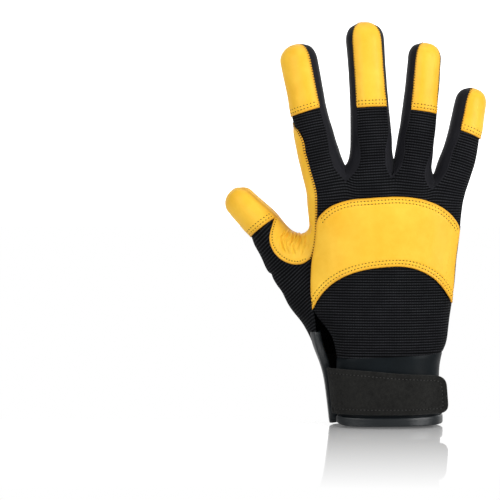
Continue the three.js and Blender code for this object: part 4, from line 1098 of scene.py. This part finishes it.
# Binding: smooth tape folded over the raw edge of the cuff, down the vent and round the hem. It is the
# solid's own shape, made round.
binding_tape = cloth_finish(
    "binding_tape", dark=(0.0035, 0.0058, 0.0075), light=(0.006, 0.0092, 0.0115),
    scale=2600.0, roughness=0.32, sheen=0.0, shine=0.5,
)
tape = merged_copy("hem_binding")
bpy.ops.object.mode_set(mode="EDIT")
bpy.ops.mesh.select_all(action="SELECT")
bpy.ops.mesh.tris_convert_to_quads(face_threshold=math.radians(60), shape_threshold=math.pi)
bpy.ops.object.mode_set(mode="OBJECT")
modified(tape, "SUBSURF", levels=2, render_levels=2)
only(tape)
bpy.ops.object.shade_smooth()
placed(tape, binding_tape, "binding", "hem_binding")

# Strap: thick brushed loop tape from the vent round the back, stitched along its edges with grey thread.
# Its end stands free of the cuff.


def felt_finish(name):
    """Brushed loop tape: dull black pile in small tufts, a little paler where it is worn."""
    made, place, shader = new_finish(
        name, Specular_IOR_Level=0.05, Sheen_Weight=0.1, Sheen_Roughness=0.6,
    )
    pile = place.noise(1500, 4, 0.75)
    tuft = place.noise(420, 3, 0.65)
    worn = place.noise(70, 3, 0.6).clamped(0.35, 0.7)
    shade = (pile * 0.6 + tuft * 0.4).clamped(0.32, 0.68)
    colour = (shade * 0.8 + worn * 0.2).between((0.0008, 0.0008, 0.0008, 1), (0.0195, 0.0195, 0.0178, 1))
    relief = place.bumped(pile, 0.0004, 0.7, place.bumped(tuft, 0.0006, 0.5))
    feed(shader, Base_Color=colour, Roughness=0.86 + 0.1 * pile, Normal=relief)
    return made


def pile_side(points, normals, distance):
    """The pile's fine unevenness."""
    return np.array([0.09 * noise.noise(Vector(point) / 1.1) for point in points])


felt = felt_finish("brushed_loop_tape")
grey_thread = thread_finish("grey_thread", colour=(0.04, 0.04, 0.038), roughness=0.6)

strap = cut_panel("wrist_strap", wall=2.2, levels=FINE + 1)
flat = surface(strap)
strap_edge = edges_of(strap)[0]
across, up = strap_edge.points[:, 0], strap_edge.points[:, 2]
# The strap's end in the vent has no stitches.
in_vent = (across < across.min() + 6) & (up > 7) & (up < 31)
strap_rows = [row_line(part, flat, inset=2.9, trim=1.0) for part in strap_edge.parts(~in_vent)]
strap_skin = dress(strap, puff=0.1, lift=0.0, roll=0.7, rows=strap_rows, extra=pile_side)
backed(strap, wall=2.1)
placed(strap, felt, "strap", "wrist_strap")
# The strap's needle holes are dark discs in the black thread's finish: painted shade of the holes.
sew_rows(
    "strap", [(strap_skin, row) for row in strap_rows], pitch=2.3, height=0.08,
    thread=grey_thread, hole=black_thread, slot="strap",
)

# Pull tab: a short strap of leather on the palm side of the cuff, stitched down along both sides. It is
# pulled to draw the glove on.
tab = cut_panel("pull_tab", wall=1.1, levels=FINE, towards=Vector((0, 1, 0)))
flat = surface(tab)
tab_edge = edges_of(tab)[0]
across = tab_edge.points[:, 0]
tab_rows = [
    row_line(part, flat, inset=2.5, trim=1.0)
    for side in (across < across.min() + 0.3, across > across.max() - 0.3) for part in tab_edge.parts(side)
]
tab_skin = dress(tab, puff=0.25, lift=0.0, roll=0.45, rows=tab_rows)
backed(tab, wall=1.0, thin=None)
placed(tab, leather, "leather", "pull_tab")
sew_rows("tab", [(tab_skin, row) for row in tab_rows])
